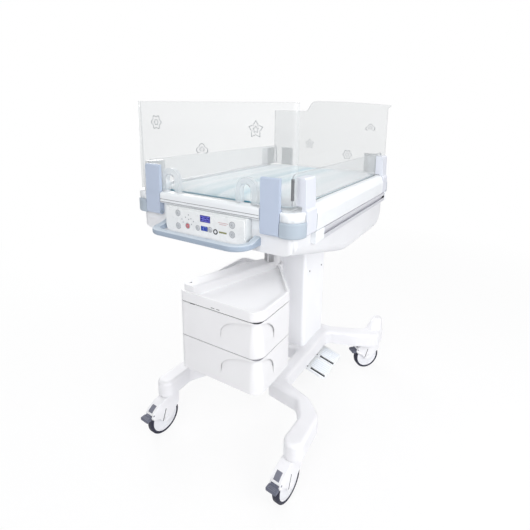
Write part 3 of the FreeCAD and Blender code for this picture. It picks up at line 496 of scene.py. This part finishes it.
softEdges = {"column_cover": 0.0006, "end_rims": 0.0006, "side_rims": 0.0008, "control_box": 0.0012,
             "front_clamps": 0.0012, "rear_clamps": 0.0012, "right_clamps": 0.0012,
             "left_clamps": 0.0012, "accessory_rails": 0.0005, "pedal_bracket": 0.0008,
             "displays": 0.0004, "lift_tube": 0.0006}
turned = ["base_cover", "bed_shell", "bed_frame", "corner_guards", "bumper", "storage_tray",
          "storage_arm", "drawer_lower", "drawer_upper", "foot_pedal_front", "foot_pedal_rear",
          "control_face", "tube_ports", "column_screws", "storage_pivot", "lift_rod", "lift_motor"]
turned += [name for name in nodes if name.startswith(("key_", "caster_fork_", "wheel_hub_", "tyre_"))]
skins = {name: skin(name) for name in turned}
skins.update({name: skin(name, bevel) for name, bevel in softEdges.items()})


# Parts of a skin in a finish of their own: upper faces (a painted highlight on the bumper, painted light
# against the bed's shade on the tray), rail ends, the lower display
splitPlan = {"bumperUp": 0.6, "trayUp": 0.9, "rail": (-0.2418, 0.4033), "lowerDisplay": 0.888}


def secondFinish(piece, finish, takes):
    piece.data.materials.append(finish.material)
    for face in piece.data.polygons:
        if takes(face):
            face.material_index = len(piece.data.materials) - 1


secondFinish(skins["bumper"], bumperTop, lambda face: face.normal.z > splitPlan["bumperUp"])
secondFinish(skins["storage_tray"], trayFloor, lambda face: face.normal.z > splitPlan["trayUp"])
secondFinish(skins["accessory_rails"], railBlock,
             lambda face: not splitPlan["rail"][0] < face.center.y < splitPlan["rail"][1])
secondFinish(skins["displays"], lowerWindow, lambda face: face.center.z < splitPlan["lowerDisplay"])


# Each rear hump leans: steep outside and behind, sloping inward and forward
humpPlan = {"foot": 0.205, "radius": 0.038, "round": 0.0228, "newRound": 0.009, "out": (0.038, 0.033),
            "in": (0.036, 0.008), "square": 3.0, "squareBy": 3, "corners": ("rear_left", "rear_right"),
            "skipBelow": 0.0005, "skipBeyond": 0.001}


def roundedIn(height, top, radius):
    bend = max(height - (top - radius), 0)
    return radius - math.sqrt(max(radius ** 2 - bend ** 2, 0))


def leanHump(cover, centre, side, plan):
    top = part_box("base_cover")[1].z
    for vertex in cover.data.vertices:
        off = vertex.co - centre
        if (vertex.co.z < plan["foot"] + plan["skipBelow"]
                or math.hypot(off.x, off.y) > plan["radius"] + plan["skipBeyond"]):
            continue
        share = (vertex.co.z - plan["foot"]) / (top - plan["foot"])
        old = plan["radius"] - roundedIn(vertex.co.z, top, plan["round"])
        cut = roundedIn(vertex.co.z, top, plan["newRound"])
        angle = math.atan2(off.y, off.x)
        power = plan["square"]
        corner = (abs(math.cos(angle)) ** power + abs(math.sin(angle)) ** power) ** (-1 / power)
        corner = 1 + (corner - 1) * min(share * plan["squareBy"], 1)
        scale = []
        for step in (off.x * side, off.y):
            first, last = plan["out"] if step > 0 else plan["in"]
            scale.append((first + (last - first) * share - cut) / old * corner)
        vertex.co.x = centre.x + off.x * scale[0]
        vertex.co.y = centre.y + off.y * scale[1]
    smooth(cover, skinPlan["smooth"])


for corner, side in zip(humpPlan["corners"], (-1, 1)):
    swivel = Vector(joints["caster_" + corner + "_swivel"]["pos_m"])
    leanHump(skins["base_cover"], swivel, side, humpPlan)
print("moulded skins made")


# Clear sheets show a darker line where one looks into a sawn edge
sawnPlan = {"bevel": 0.0006, "upright": 0.5, "flat": 0.55}


def sheetSkin(name, isEdge):
    secondFinish(skin(name, sawnPlan["bevel"]), sheetEdge, isEdge)


sheetSkin("front_panel", lambda face: abs(face.normal.z) > sawnPlan["upright"])
sheetSkin("rear_panel", lambda face: abs(face.normal.y) < sawnPlan["flat"])
for side in ("right", "left"):
    sheetSkin(side + "_panel", lambda face: abs(face.normal.x) < sawnPlan["flat"])


# Mattress: a blown-up pad with a welded piping round its upper edge; a short front stretch of the piping is
# dark teal, partly the cover's blue and partly painted shade above the rim
mattressPlan = {"inset": 0.004, "voxel": 0.008, "pressure": 4.0, "frames": 20, "cap": 0.005,
                "crown": 0.004, "crownFrom": 0.02, "piping": 0.0022, "pipingDrop": 0.009, "pipingIn": 0.001,
                "cornerRadius": 0.034, "teal": (-0.03, 0.10), "tealDepth": 0.02,
                "smooth": 60}


def mattressPad(plan):
    low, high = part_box("mattress")
    size = high - low
    centre = Vector(((low.x + high.x) / 2, (low.y + high.y) / 2, low.z))
    pad = copyOf(nodes["mattress"], "mattressPad")
    weld(pad)
    bpy.ops.object.mode_set(mode="OBJECT")
    scaled(pad, centre, [1 - 2 * plan["inset"] / size.x, 1 - 2 * plan["inset"] / size.y,
                         1 - plan["inset"] / size.z])
    pick(pad)
    cells = pad.modifiers.new("cells", "REMESH")
    cells.mode = "VOXEL"
    cells.voxel_size = plan["voxel"] * 1
    bpy.ops.object.modifier_apply(modifier=cells.name)
    rest = [v.co.copy() for v in pad.data.vertices]
    air = pad.modifiers.new("air", "CLOTH")
    air.settings.use_pressure = True
    air.settings.uniform_pressure_force = plan["pressure"]
    air.settings.effector_weights.gravity = 0
    air.settings.quality = 5
    for number in range(1, plan["frames"] + 1):
        bpy.context.scene.frame_set(number)
    bpy.ops.object.modifier_apply(modifier=air.name)
    bpy.context.scene.frame_set(1)
    for vertex, place in zip(pad.data.vertices, rest):
        step = vertex.co - place
        if step.length > plan["cap"]:
            step.length = plan["cap"]
        crown = plan["crown"] * (1 - ((place.x - centre.x) / size.x * 2) ** 4) * (
            1 - ((place.y - centre.y) / size.y * 2) ** 4)
        swollen = place + step
        if place.z > high.z - plan["crownFrom"]:
            swollen.z += crown
        swollen.z = max(swollen.z, low.z)
        vertex.co = swollen
    pick(pad)
    finer = pad.modifiers.new("finer", "SUBSURF")
    finer.levels = finer.render_levels = 1
    bpy.ops.object.modifier_apply(modifier=finer.name)
    dress(pad, finishes["mattress_cover"], "bed", plan["smooth"])
    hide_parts("mattress")


def mattressPiping(plan):
    low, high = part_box("mattress")
    clearPick()
    middle = ((low.x + high.x) / 2, (low.y + high.y) / 2, high.z - plan["pipingDrop"])
    bpy.ops.mesh.primitive_plane_add(size=1, location=middle)
    piping = bpy.context.object
    piping.name = "mattressPiping"
    piping.scale = (high.x - low.x - 2 * plan["pipingIn"], high.y - low.y - 2 * plan["pipingIn"], 1)
    settle(piping)
    editAll(piping)
    bpy.ops.mesh.bevel(offset=plan["cornerRadius"], segments=10, affect="VERTICES")
    bpy.ops.mesh.delete(type="ONLY_FACE")
    bpy.ops.object.mode_set(mode="OBJECT")
    bpy.ops.object.convert(target="CURVE")
    piping.data.bevel_depth = plan["piping"]
    piping.data.bevel_resolution = 3
    bpy.ops.object.convert(target="MESH")
    made = dress(bpy.context.object, pipingPale, "bed", plan["smooth"])
    # A front stretch of the piping is dark teal: partly the cover's blue, partly painted shade between
    # mattress and rim
    secondFinish(made, pipingTeal, lambda face: face.center.y < low.y + plan["tealDepth"]
                 and plan["teal"][0] < face.center.x < plan["teal"][1])


mattressPad(mattressPlan)
mattressPiping(mattressPlan)
print("mattress made")


# Casters: a fuller hood over the fork, grey tread pad, a dark strip in each cheek as painted shade of the
# gap between cheek and wheel, broad brake toe
casterPlan = {"crown": [(-0.021, 0.0735), (-0.021, 0.0785), (0.021, 0.0785), (0.021, 0.0735),
                        (0.0152, 0.0735), (0.0152, 0.0765), (-0.0152, 0.0765), (-0.0152, 0.0735)],
              "crownSpan": (37.5, 84), "crownRound": 0.0024,
              "pad": [(-0.0105, 0.077), (-0.0105, 0.0793), (0.0105, 0.0793), (0.0105, 0.077)],
              "padSpan": (43, 63), "padRound": 0.0007, "cheek": 0.021,
              "slotFoot": (-0.0177, -0.002), "slotLength": 0.0463, "slotWidth": 0.0032,
              "slotProud": 0.0004, "slotLean": 19.3, "capRadius": 0.0105, "capDepth": 0.003,
              "capProud": 0.0012}


def arcBand(name, outline, span, steps, rounding):
    start = math.radians(span[0])
    clearPick()
    bpy.ops.mesh.primitive_circle_add(vertices=len(outline), radius=1, fill_type="NGON")
    piece = bpy.context.object
    piece.name = name
    for vertex, (x, radius) in zip(piece.data.vertices, outline):
        vertex.co = Vector((x, -radius * math.cos(start), radius * math.sin(start)))
    editAll(piece)
    sweep = math.radians(span[1] - span[0])
    bpy.ops.mesh.spin(steps=steps, angle=sweep, center=(0, 0, 0), axis=(1, 0, 0))
    return roundEdges(outward(piece), rounding, 3, 50)


# A dark strip on each fork cheek: painted shade of the gap between the cheek's edge and the wheel
def cheekSlot(plan, side):
    half = plan["slotWidth"] / 2
    proud = plan["slotProud"]
    piece = block("cheekSlot", (side * plan["cheek"] - proud, -half, 0),
                  (side * plan["cheek"] + proud, half, plan["slotLength"]), 0.0003)
    return moved(piece, Matrix.Translation((0, *plan["slotFoot"]))
                 @ Matrix.Rotation(math.radians(-plan["slotLean"]), 4, "X"))


def axleCap(plan, side):
    middle = (side * (plan["cheek"] + plan["capProud"]), 0, 0)
    return disc("axleCap", plan["capRadius"], plan["capDepth"], middle, "X", 28, 0.0022, 0.0008)


# Toe of the brake pedal, measured from the wheel's axle; its back clears the fork when pressed
pedalToe = {"half": 0.0195, "back": -0.0660, "front": -0.0855, "top": 0.0446, "low": 0.0326,
            "round": 0.0028, "tongueHalf": 0.0146, "tongueIn": 0.004, "tongueRound": 0.0018,
            "pinRadius": 0.003, "pinProud": 0.0006, "ribs": 4, "ribFrom": -0.0690, "ribPitch": 0.0045,
            "ribHalf": 0.0165, "ribThick": 0.0011, "ribSunk": 0.001, "ribProud": 0.0009}


def brakePedal(plan, pin):
    toe = block("toe", (-plan["half"], plan["front"], plan["low"]),
                (plan["half"], plan["back"], plan["top"]), plan["round"], 3)
    inset = plan["tongueIn"]
    tongue = block("tongue", (-plan["tongueHalf"], plan["back"] - inset, plan["low"] + inset),
                   (plan["tongueHalf"], pin.y + 0.001, plan["top"] + 0.002), plan["tongueRound"])
    bar = disc("bar", plan["pinRadius"], 2 * casterPlan["cheek"] + plan["pinProud"],
               (0, pin.y, pin.z), "X", 60, 0.0008, 0.0003)
    return joined("brakePedal", [toe, tongue, bar])


def brakeRibs(plan):
    ribs = []
    for number in range(plan["ribs"]):
        y = plan["ribFrom"] - number * plan["ribPitch"]
        ribs.append(block("rib", (-plan["ribHalf"], y - plan["ribThick"], plan["top"] - plan["ribSunk"]),
                          (plan["ribHalf"], y + plan["ribThick"], plan["top"] + plan["ribProud"]),
                          0.0005))
    return joined("brakeRibs", ribs)


for corner in corners:
    roll = joints["wheel_" + corner + "_roll"]
    heading = math.atan2(roll["axis"][1], roll["axis"][0])
    turn = Matrix.Translation(Vector(roll["pos_m"])) @ Matrix.Rotation(heading, 4, "Z")
    pin = turn.inverted() @ Vector(joints["brake_" + corner + "_press"]["pos_m"])
    crown = moved(arcBand("crown", casterPlan["crown"], casterPlan["crownSpan"], 14,
                          casterPlan["crownRound"]), turn)
    crown.name = camel("hood_crown", corner)
    dress(crown, finishes["caster_white"], "caster_" + corner)
    pad = moved(arcBand("pad", casterPlan["pad"], casterPlan["padSpan"], 10, casterPlan["padRound"]),
                turn)
    pad.name = camel("hood_pad", corner)
    dress(pad, padGrey, "caster_" + corner)
    slots = joined(camel("cheek_slots", corner), [cheekSlot(casterPlan, side) for side in (-1, 1)])
    dress(moved(slots, turn), darkPlastic, "caster_" + corner)
    caps = joined(camel("axle_caps", corner), [axleCap(casterPlan, side) for side in (-1, 1)])
    dress(moved(caps, turn), finishes["caster_white"], "caster_" + corner)
    pedal = moved(brakePedal(pedalToe, pin), turn)
    pedal.name = camel("brake_pedal", corner)
    dress(pedal, finishes["brake_dark"], "brake_" + corner)
    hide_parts("brake_pedal_" + corner)
    ribs = moved(brakeRibs(pedalToe), turn)
    ribs.name = camel("brake_ribs", corner)
    dress(ribs, padGrey, "brake_" + corner)
print("caster details made")


# Foot pedals: black edge strip as painted shade of the gap between pad and housing, short mark, thin line
# and fine ribs on each tread
pedalPlan = {"slope": 14, "top": 0.006, "edge": 0.003, "strip": (0.038, 0.108), "stripWidth": 0.009,
             "mark": (0.013, 0.024), "markShare": 0.8, "blackRise": 0.0014, "line": (0.030, 0.108),
             "lineGap": 0.0035, "lineWidth": 0.0011, "lineRise": 0.0007, "ribs": 5, "ribFrom": 0.026,
             "ribPitch": 0.012, "ribSpan": (0.030, 0.104), "ribWidth": 0.003, "ribRise": 0.0006,
             "sunk": 0.002}


def treadBar(span, y, width, rise, bevel):
    top = pedalPlan["top"]
    return block("bar", (span[0], y, top - pedalPlan["sunk"]), (span[1], y + width, top + rise), bevel)


for side in ("front", "rear"):
    name = "foot_pedal_" + side
    low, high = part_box(name)
    pin = Vector(joints[name + "_press"]["pos_m"])
    tilt = (Matrix.Translation((pin.x, 0, pin.z))
            @ Matrix.Rotation(math.radians(pedalPlan["slope"]), 4, "Y"))
    first = low.y + pedalPlan["edge"]
    width = pedalPlan["stripWidth"]
    rise = pedalPlan["blackRise"]
    # The black strip along the tread's front edge is painted shade of the gap between pad and housing
    black = [treadBar(pedalPlan["strip"], first, width, rise, 0.001),
             treadBar(pedalPlan["mark"], first, width * pedalPlan["markShare"], rise, 0.001)]
    dress(moved(joined(camel(name, "strip"), black), tilt), darkPlastic, name)
    line = treadBar(pedalPlan["line"], first + width + pedalPlan["lineGap"], pedalPlan["lineWidth"],
                    pedalPlan["lineRise"], 0.0003)
    dress(moved(joined(camel(name, "line"), [line]), tilt), markGrey, name)
    ribs = [treadBar(pedalPlan["ribSpan"], low.y + pedalPlan["ribFrom"] + number * pedalPlan["ribPitch"],
                     pedalPlan["ribWidth"], pedalPlan["ribRise"], 0.0005)
            for number in range(pedalPlan["ribs"])]
    dress(moved(joined(camel(name, "ribs"), ribs), tilt), ribBlue, name)
print("pedal details made")


# Control face: display digits, marks, buzzer ring, lamp bar and key legends
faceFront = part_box("control_face")[0].y
segmentMap = {"0": "abcdef", "1": "bc", "2": "abged", "3": "abgcd", "4": "fgbc", "5": "afgcd",
              "6": "afgedc", "7": "abc", "8": "abcdefg", "9": "abcdfg"}
displayPlan = {"bar": 0.17, "sunk": 0.0001, "thick": 0.0008, "pointBack": 0.0030}
digitPlans = {"upper": {"text": "36.5", "left": -0.0085, "low": 0.8975, "width": 0.0080,
                        "height": 0.0135, "pitch": 0.0120},
              "lower": {"text": "37", "left": -0.0035, "low": 0.8695, "width": 0.0058,
                        "height": 0.0100, "pitch": 0.0090}}


def digitBars(plan):
    bars = []
    x = plan["left"]
    w = plan["width"]
    h = plan["height"]
    bar = w * displayPlan["bar"]
    half = bar / 2
    front = faceFront + displayPlan["sunk"]
    back = front + displayPlan["thick"]
    spans = {"a": (0, h, w, h), "d": (0, 0, w, 0), "g": (0, h / 2, w, h / 2), "b": (w, h / 2, w, h),
             "c": (w, 0, w, h / 2), "e": (0, 0, 0, h / 2), "f": (0, h / 2, 0, h)}
    for sign in plan["text"]:
        if sign == ".":
            left = x - displayPlan["pointBack"]
            bars.append(block("point", (left, front, plan["low"] - half),
                              (left + bar, back, plan["low"] + half), 0.0002))
            continue
        for letter in segmentMap[sign]:
            x0, z0, x1, z1 = spans[letter]
            bars.append(block("bar", (x + x0 - half, front, plan["low"] + z0 - half),
                              (x + x1 + half, back, plan["low"] + z1 + half), 0.0003))
        x += plan["pitch"]
    return bars


for level, plan in digitPlans.items():
    dress(joined(camel("display_digits", level), digitBars(plan)), displayDigit, "bed")

marksPlan = {"small": [(-0.084, 0.891), (-0.079, 0.882), (-0.069, 0.899), (-0.057, 0.908),
                       (-0.056, 0.894), (-0.047, 0.897), (-0.037, 0.890), (-0.045, 0.880)],
             "size": 0.0019, "depth": 0.0012, "lines": [(0.057, 0.094, 0.9025), (0.062, 0.088, 0.8975)],
             "lineHalf": 0.0010, "lineProud": 0.0002, "lineSunk": 0.0006}
dots = [disc("dot", marksPlan["size"], marksPlan["depth"], (x, faceFront, z), "Y", 16, 0.0006, 0.0003)
        for x, z in marksPlan["small"]]
dress(joined("faceMarks", dots), markGrey, "bed")
rules = [block("rule", (x0, faceFront - marksPlan["lineProud"], z - marksPlan["lineHalf"]),
               (x1, faceFront + marksPlan["lineSunk"], z + marksPlan["lineHalf"]), 0.0002)
         for x0, x1, z in marksPlan["lines"]]
dress(joined("faceRules", rules), markRed, "bed")

buzzerPlan = {"x": 0.047, "z": 0.872, "radius": 0.0066, "tube": 0.0019, "flatten": 0.4}
buzzerMiddle = Vector((buzzerPlan["x"], faceFront, buzzerPlan["z"]))
buzzer = ring("buzzerRing", buzzerPlan["radius"], buzzerPlan["tube"], buzzerMiddle,
              (math.pi / 2, 0, 0), 36, 8)
dress(scaled(buzzer, buzzerMiddle, (1, buzzerPlan["flatten"], 1)), darkPlastic, "bed")

lampPlan = {"x": (0.060, 0.088), "z": (0.8712, 0.8762), "half": 0.0006}
lampBar = block("lampBar", (lampPlan["x"][0], faceFront - lampPlan["half"], lampPlan["z"][0]),
                (lampPlan["x"][1], faceFront + lampPlan["half"], lampPlan["z"][1]), 0.0005)
dress(lampBar, lampOlive, "bed")

keyPlan = {"outline": 0.0009, "gap": 0.0016, "flatten": 0.45, "legend": 0.0032, "legendDepth": 0.0006,
           "legendProud": 0.0002}
for name in [node for node in nodes if node.startswith("key_")]:
    low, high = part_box(name)
    middle = (low + high) / 2
    radius = (high.x - low.x) / 2
    seat = Vector((middle.x, faceFront, middle.z))
    collar = ring(camel(name, "collar"), radius + keyPlan["gap"], keyPlan["outline"], seat,
                  (math.pi / 2, 0, 0), 36, 6)
    dress(scaled(collar, seat, (1, keyPlan["flatten"], 1)), markGrey, "bed")
    up = name.endswith(("upper", "up"))
    legend = disc(camel(name, "legend"), keyPlan["legend"], keyPlan["legendDepth"], (0, 0, 0), "Y", 3,
                  0.0006, 0.0001)
    spin = Matrix.Rotation(math.radians(0 if up else 180), 4, "Y")
    moved(legend, Matrix.Translation((middle.x, low.y - keyPlan["legendProud"], middle.z)) @ spin)
    dress(legend, markGrey, bodyOf[name])
print("control face made")


# Outline figures on the clear panels: a flower, a cloud and a star
figurePlan = {"size": 0.021, "line": 0.0023, "rise": 0.0004, "inner": 0.42, "innerLine": 0.0020,
              "proud": 0.0003, "lobes": [(-0.66, -0.20, 0.40), (0.0, 0.22, 0.56), (0.66, -0.16, 0.42)]}
figures = {"front": [("flower", -0.205, 1.180), ("cloud", -0.020, 1.108), ("star", 0.170, 1.172)],
           "rear": [("star", -0.090, 1.075), ("flower", 0.110, 1.035), ("cloud", 0.215, 1.165)]}


def figureRadius(kind, angle):
    if kind == "flower":
        return 0.95 + 0.15 * math.cos(6 * angle)
    if kind == "star":
        return 0.86 + 0.30 * math.cos(5 * angle - math.pi / 2) ** 3
    reach = 0.3
    for x, z, radius in figurePlan["lobes"]:
        along = x * math.cos(angle) + z * math.sin(angle)
        off = x * math.sin(angle) - z * math.cos(angle)
        if abs(off) < radius:
            reach = max(reach, along + math.sqrt(radius * radius - off * off))
    return reach


def figure(kind, x, y, z, plan, share=1.0):
    clearPick()
    bpy.ops.mesh.primitive_circle_add(vertices=72, radius=1, location=(0, 0, 0),
                                      rotation=(math.pi / 2, 0, 0))
    piece = bpy.context.object
    settle(piece)
    for vertex in piece.data.vertices:
        angle = math.atan2(vertex.co.z, vertex.co.x)
        reach = figureRadius(kind, angle) * plan["size"] * share
        vertex.co = Vector((reach * math.cos(angle), 0, reach * math.sin(angle)))
    editAll(piece)
    line = plan["line"] if share == 1.0 else plan["innerLine"]
    inward = 1 - line / plan["size"] / share
    bpy.ops.mesh.extrude_edges_move()
    bpy.ops.transform.resize(value=(inward, 1, inward), center_override=(0, 0, 0))
    outward(piece)
    body = piece.modifiers.new("body", "SOLIDIFY")
    body.thickness = plan["rise"]
    body.offset = 0
    bpy.ops.object.modifier_apply(modifier=body.name)
    return moved(piece, Matrix.Translation((x, y, z)))


for side in ("front", "rear"):
    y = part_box(side + "_panel")[0].y - figurePlan["proud"]
    made = [figure(kind, x, y, z, figurePlan, share) for kind, x, z in figures[side]
            for share in (1.0, figurePlan["inner"])]
    dress(joined(side + "PanelFigures", made), figureGrey, side + "_screen")
print("panel figures made")


# Rubber edge strips on the low side panels
gasketPlan = {"side": 0.0042, "over": 0.0015, "in": 0.0045, "low": 0.985, "high": 1.045}
for side in ("right", "left"):
    low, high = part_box(side + "_panel")
    middle = (low.x + high.x) / 2
    wall = gasketPlan["side"]
    strip = block(side + "PanelEdgeStrip", (middle - wall, low.y - gasketPlan["over"], gasketPlan["low"]),
                  (middle + wall, low.y + gasketPlan["in"], gasketPlan["high"]), 0.0015, 3)
    dress(strip, darkPlastic, side + "_screen")


# Seams: two dark lines in the face of each end rim, painted shade in its two grooves
seamPlan = {"lines": [0.9395, 0.9305], "half": 0.0007, "reach": 0.189, "depth": 0.0012}
for end, sign in (("front", -1), ("rear", 1)):
    low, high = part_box("end_rims")
    face = low.y if sign < 0 else high.y
    near, far = sorted((face, face - sign * seamPlan["depth"]))
    lines = [block("line", (-seamPlan["reach"], near, z - seamPlan["half"]),
                   (seamPlan["reach"], far, z + seamPlan["half"])) for z in seamPlan["lines"]]
    dress(joined(end + "RimLines", lines), seamGrey, "bed")


# Dark sheets in the two joints of the storage unit: painted shade of the shadow gaps under the tray and
# between the drawers
jointShadePlan = {"inset": 0.0018, "cut": (0.564, 0.515), "round": 0.022, "thick": 0.0027}


def jointShade(name, low, high, top, plan):
    inset = plan["inset"]
    bottom = top - plan["thick"]
    clearPick()
    middle = ((low.x + high.x) / 2, (low.y + high.y) / 2, bottom)
    bpy.ops.mesh.primitive_plane_add(size=1, location=middle)
    piece = bpy.context.object
    piece.name = name
    piece.scale = (high.x - low.x - 2 * inset, high.y - low.y - 2 * inset, 1)
    settle(piece)
    width = high.x - low.x
    depth = high.y - low.y
    back = Vector((low.x + plan["cut"][0] * width, high.y, bottom))
    side = Vector((high.x, low.y + plan["cut"][1] * depth, bottom))
    along = side - back
    away = Vector((-along.y, along.x, 0)).normalized()
    if away.x < 0:
        away.negate()
    editAll(piece)
    bpy.ops.mesh.bisect(plane_co=back - away * inset, plane_no=away, clear_outer=True)
    bpy.ops.mesh.select_all(action="SELECT")
    bpy.ops.mesh.bevel(offset=plan["round"], segments=6, affect="VERTICES")
    bpy.ops.mesh.select_all(action="SELECT")
    bpy.ops.mesh.extrude_region_move(TRANSFORM_OT_translate={"value": (0, 0, top - bottom)})
    return outward(piece)


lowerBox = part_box("drawer_lower")
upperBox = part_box("drawer_upper")
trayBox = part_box("storage_tray")
dress(jointShade("trayJoint", *upperBox, trayBox[0].z, jointShadePlan), darkPlastic, "bed")
dress(jointShade("drawerJoint", *lowerBox, upperBox[0].z, jointShadePlan), seamGrey, "drawer_upper")


# Painted shade: a dark disc in the arm's pivot lug for the shade in its well, and three dark strips in the
# tray's front lip for the shade in three small slots
storePlan = {"lugTop": 0.634, "wellDepth": 0.005, "wellRadius": 0.0048, "wellThick": 0.002,
             "slotHalf": 0.0004,
             "slots": [(-0.119, -0.098, 0.5745, 0.5775), (-0.027, -0.012, 0.5835, 0.5855),
                       (-0.004, 0.009, 0.5835, 0.5855)]}
pivotLow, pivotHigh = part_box("storage_pivot")
wellMiddle = ((pivotLow.x + pivotHigh.x) / 2, (pivotLow.y + pivotHigh.y) / 2,
              storePlan["lugTop"] - storePlan["wellDepth"])
well = disc("lugWell", storePlan["wellRadius"], storePlan["wellThick"], wellMiddle, "Z", 28, 0.001, 0.0003)
dress(well, darkPlastic, "bed")
lipFront = trayBox[0].y - storePlan["slotHalf"]
lipBack = trayBox[0].y + storePlan["slotHalf"]
lipSlotShades = [block("lipSlot", (x0, lipFront, z0), (x1, lipBack, z1), 0.0003)
            for x0, x1, z0, z1 in storePlan["slots"]]
dress(joined("trayLipSlots", lipSlotShades), darkPlastic, "bed")
print("seams and joints made")


# Camera, light and floor
cameraPlan = {"place": (0.760, -1.26325, 1.213), "yaw": 28.3, "pitch": -11.4, "roll": 1.48,
              "lens": 26.08, "sensor": 36, "shift": (-0.057, -0.137)}
clearPick()
bpy.ops.object.camera_add(location=cameraPlan["place"])
camera = bpy.context.object
camera.name = "camera"
camera.rotation_euler = (Matrix.Rotation(math.radians(cameraPlan["yaw"]), 3, "Z")
                         @ Matrix.Rotation(math.radians(90 + cameraPlan["pitch"]), 3, "X")
                         @ Matrix.Rotation(math.radians(cameraPlan["roll"]), 3, "Z")).to_euler()
camera.data.lens = cameraPlan["lens"]
camera.data.sensor_width = cameraPlan["sensor"]
camera.data.shift_x, camera.data.shift_y = cameraPlan["shift"]
bpy.context.scene.camera = camera

studio = {"world": 0.40, "floor": linear(238, 238, 240), "floorSize": 60, "floorDrop": 0.0005,
          "floorGlow": 0.86, "glowFrom": 0.9, "glowOver": 2.2}
lamps = {
    "rightKey": {"place": (2.6, -0.7, 2.0), "aim": (0, 0, 0.7), "size": 2.2, "power": 55},
    "frontHigh": {"place": (0.6, -2.4, 2.0), "aim": (0, 0, 0.6), "size": 1.6, "power": 28},
    "topSoft": {"place": (0.2, 0.3, 3.2), "aim": (0, 0, 0.5), "size": 2.4, "power": 16},
    "leftRear": {"place": (-2.8, 1.4, 1.8), "aim": (0, 0, 0.7), "size": 2.4, "power": 52}}
for name, plan in lamps.items():
    clearPick()
    bpy.ops.object.light_add(type="AREA", location=plan["place"])
    lamp = bpy.context.object
    lamp.name = name
    lamp.data.shape = "DISK"
    lamp.data.size = plan["size"]
    lamp.data.energy = plan["power"]
    towards = Vector(plan["aim"]) - Vector(plan["place"])
    lamp.rotation_euler = towards.to_track_quat("-Z", "Y").to_euler()

# The world lights softly, and is white where the camera, gloss or clear sheets show it
world = bpy.data.worlds.new("studioWorld")
bpy.context.scene.world = world
world.use_nodes = True
air = world.node_tree
plain = air.nodes["Background"]
plain.inputs["Color"].default_value = (1, 1, 1, 1)
plain.inputs["Strength"].default_value = studio["world"]
seen = air.nodes.new("ShaderNodeBackground")
seen.inputs["Color"].default_value = (1, 1, 1, 1)
rays = air.nodes.new("ShaderNodeLightPath")
either = air.nodes.new("ShaderNodeMath")
either.operation = "MAXIMUM"
air.links.new(rays.outputs["Is Camera Ray"], either.inputs[0])
air.links.new(rays.outputs["Is Glossy Ray"], either.inputs[1])
anySight = air.nodes.new("ShaderNodeMath")
anySight.operation = "MAXIMUM"
air.links.new(either.outputs[0], anySight.inputs[0])
air.links.new(rays.outputs["Is Transmission Ray"], anySight.inputs[1])
blend = air.nodes.new("ShaderNodeMixShader")
air.links.new(anySight.outputs[0], blend.inputs[0])
air.links.new(plain.outputs[0], blend.inputs[1])
air.links.new(seen.outputs[0], blend.inputs[2])
air.links.new(blend.outputs[0], air.nodes["World Output"].inputs["Surface"])

# The floor fades to white away from the cot and keeps its shadow
clearPick()
bpy.ops.mesh.primitive_plane_add(size=studio["floorSize"], location=(0, 0, -studio["floorDrop"]))
floor = settle(bpy.context.object)
floor.name = "floor"
floorFinish = Finish("floorPale")
floorFinish.put(colour=studio["floor"], roughness=0.7)
lit = floorFinish.tree.nodes.new("ShaderNodeEmission")
lit.inputs["Color"].default_value = (1, 1, 1, 1)
floorRays = floorFinish.tree.nodes.new("ShaderNodeLightPath")
reach = floorFinish.node("ShaderNodeVectorMath", {"operation": "LENGTH"}, {0: floorFinish.place},
                         "Value")
fade = ((reach - studio["glowFrom"]) / studio["glowOver"]).clamped()
glow = fade * (1 - studio["floorGlow"]) + studio["floorGlow"]
sight = Wire(floorFinish, floorRays.outputs["Is Camera Ray"]).larger(
    Wire(floorFinish, floorRays.outputs["Is Transmission Ray"])) * glow
over = floorFinish.tree.nodes.new("ShaderNodeMixShader")
floorFinish.feed(over.inputs[0], sight)
floorLinks = floorFinish.tree.links
floorLinks.new(floorFinish.surface.outputs[0], over.inputs[1])
floorLinks.new(lit.outputs[0], over.inputs[2])
floorLinks.new(over.outputs[0], floorFinish.tree.nodes["Material Output"].inputs["Surface"])
floor.data.materials.append(floorFinish.material)
bpy.context.scene.view_settings.view_transform = "Standard"
print("camera, light and floor placed")
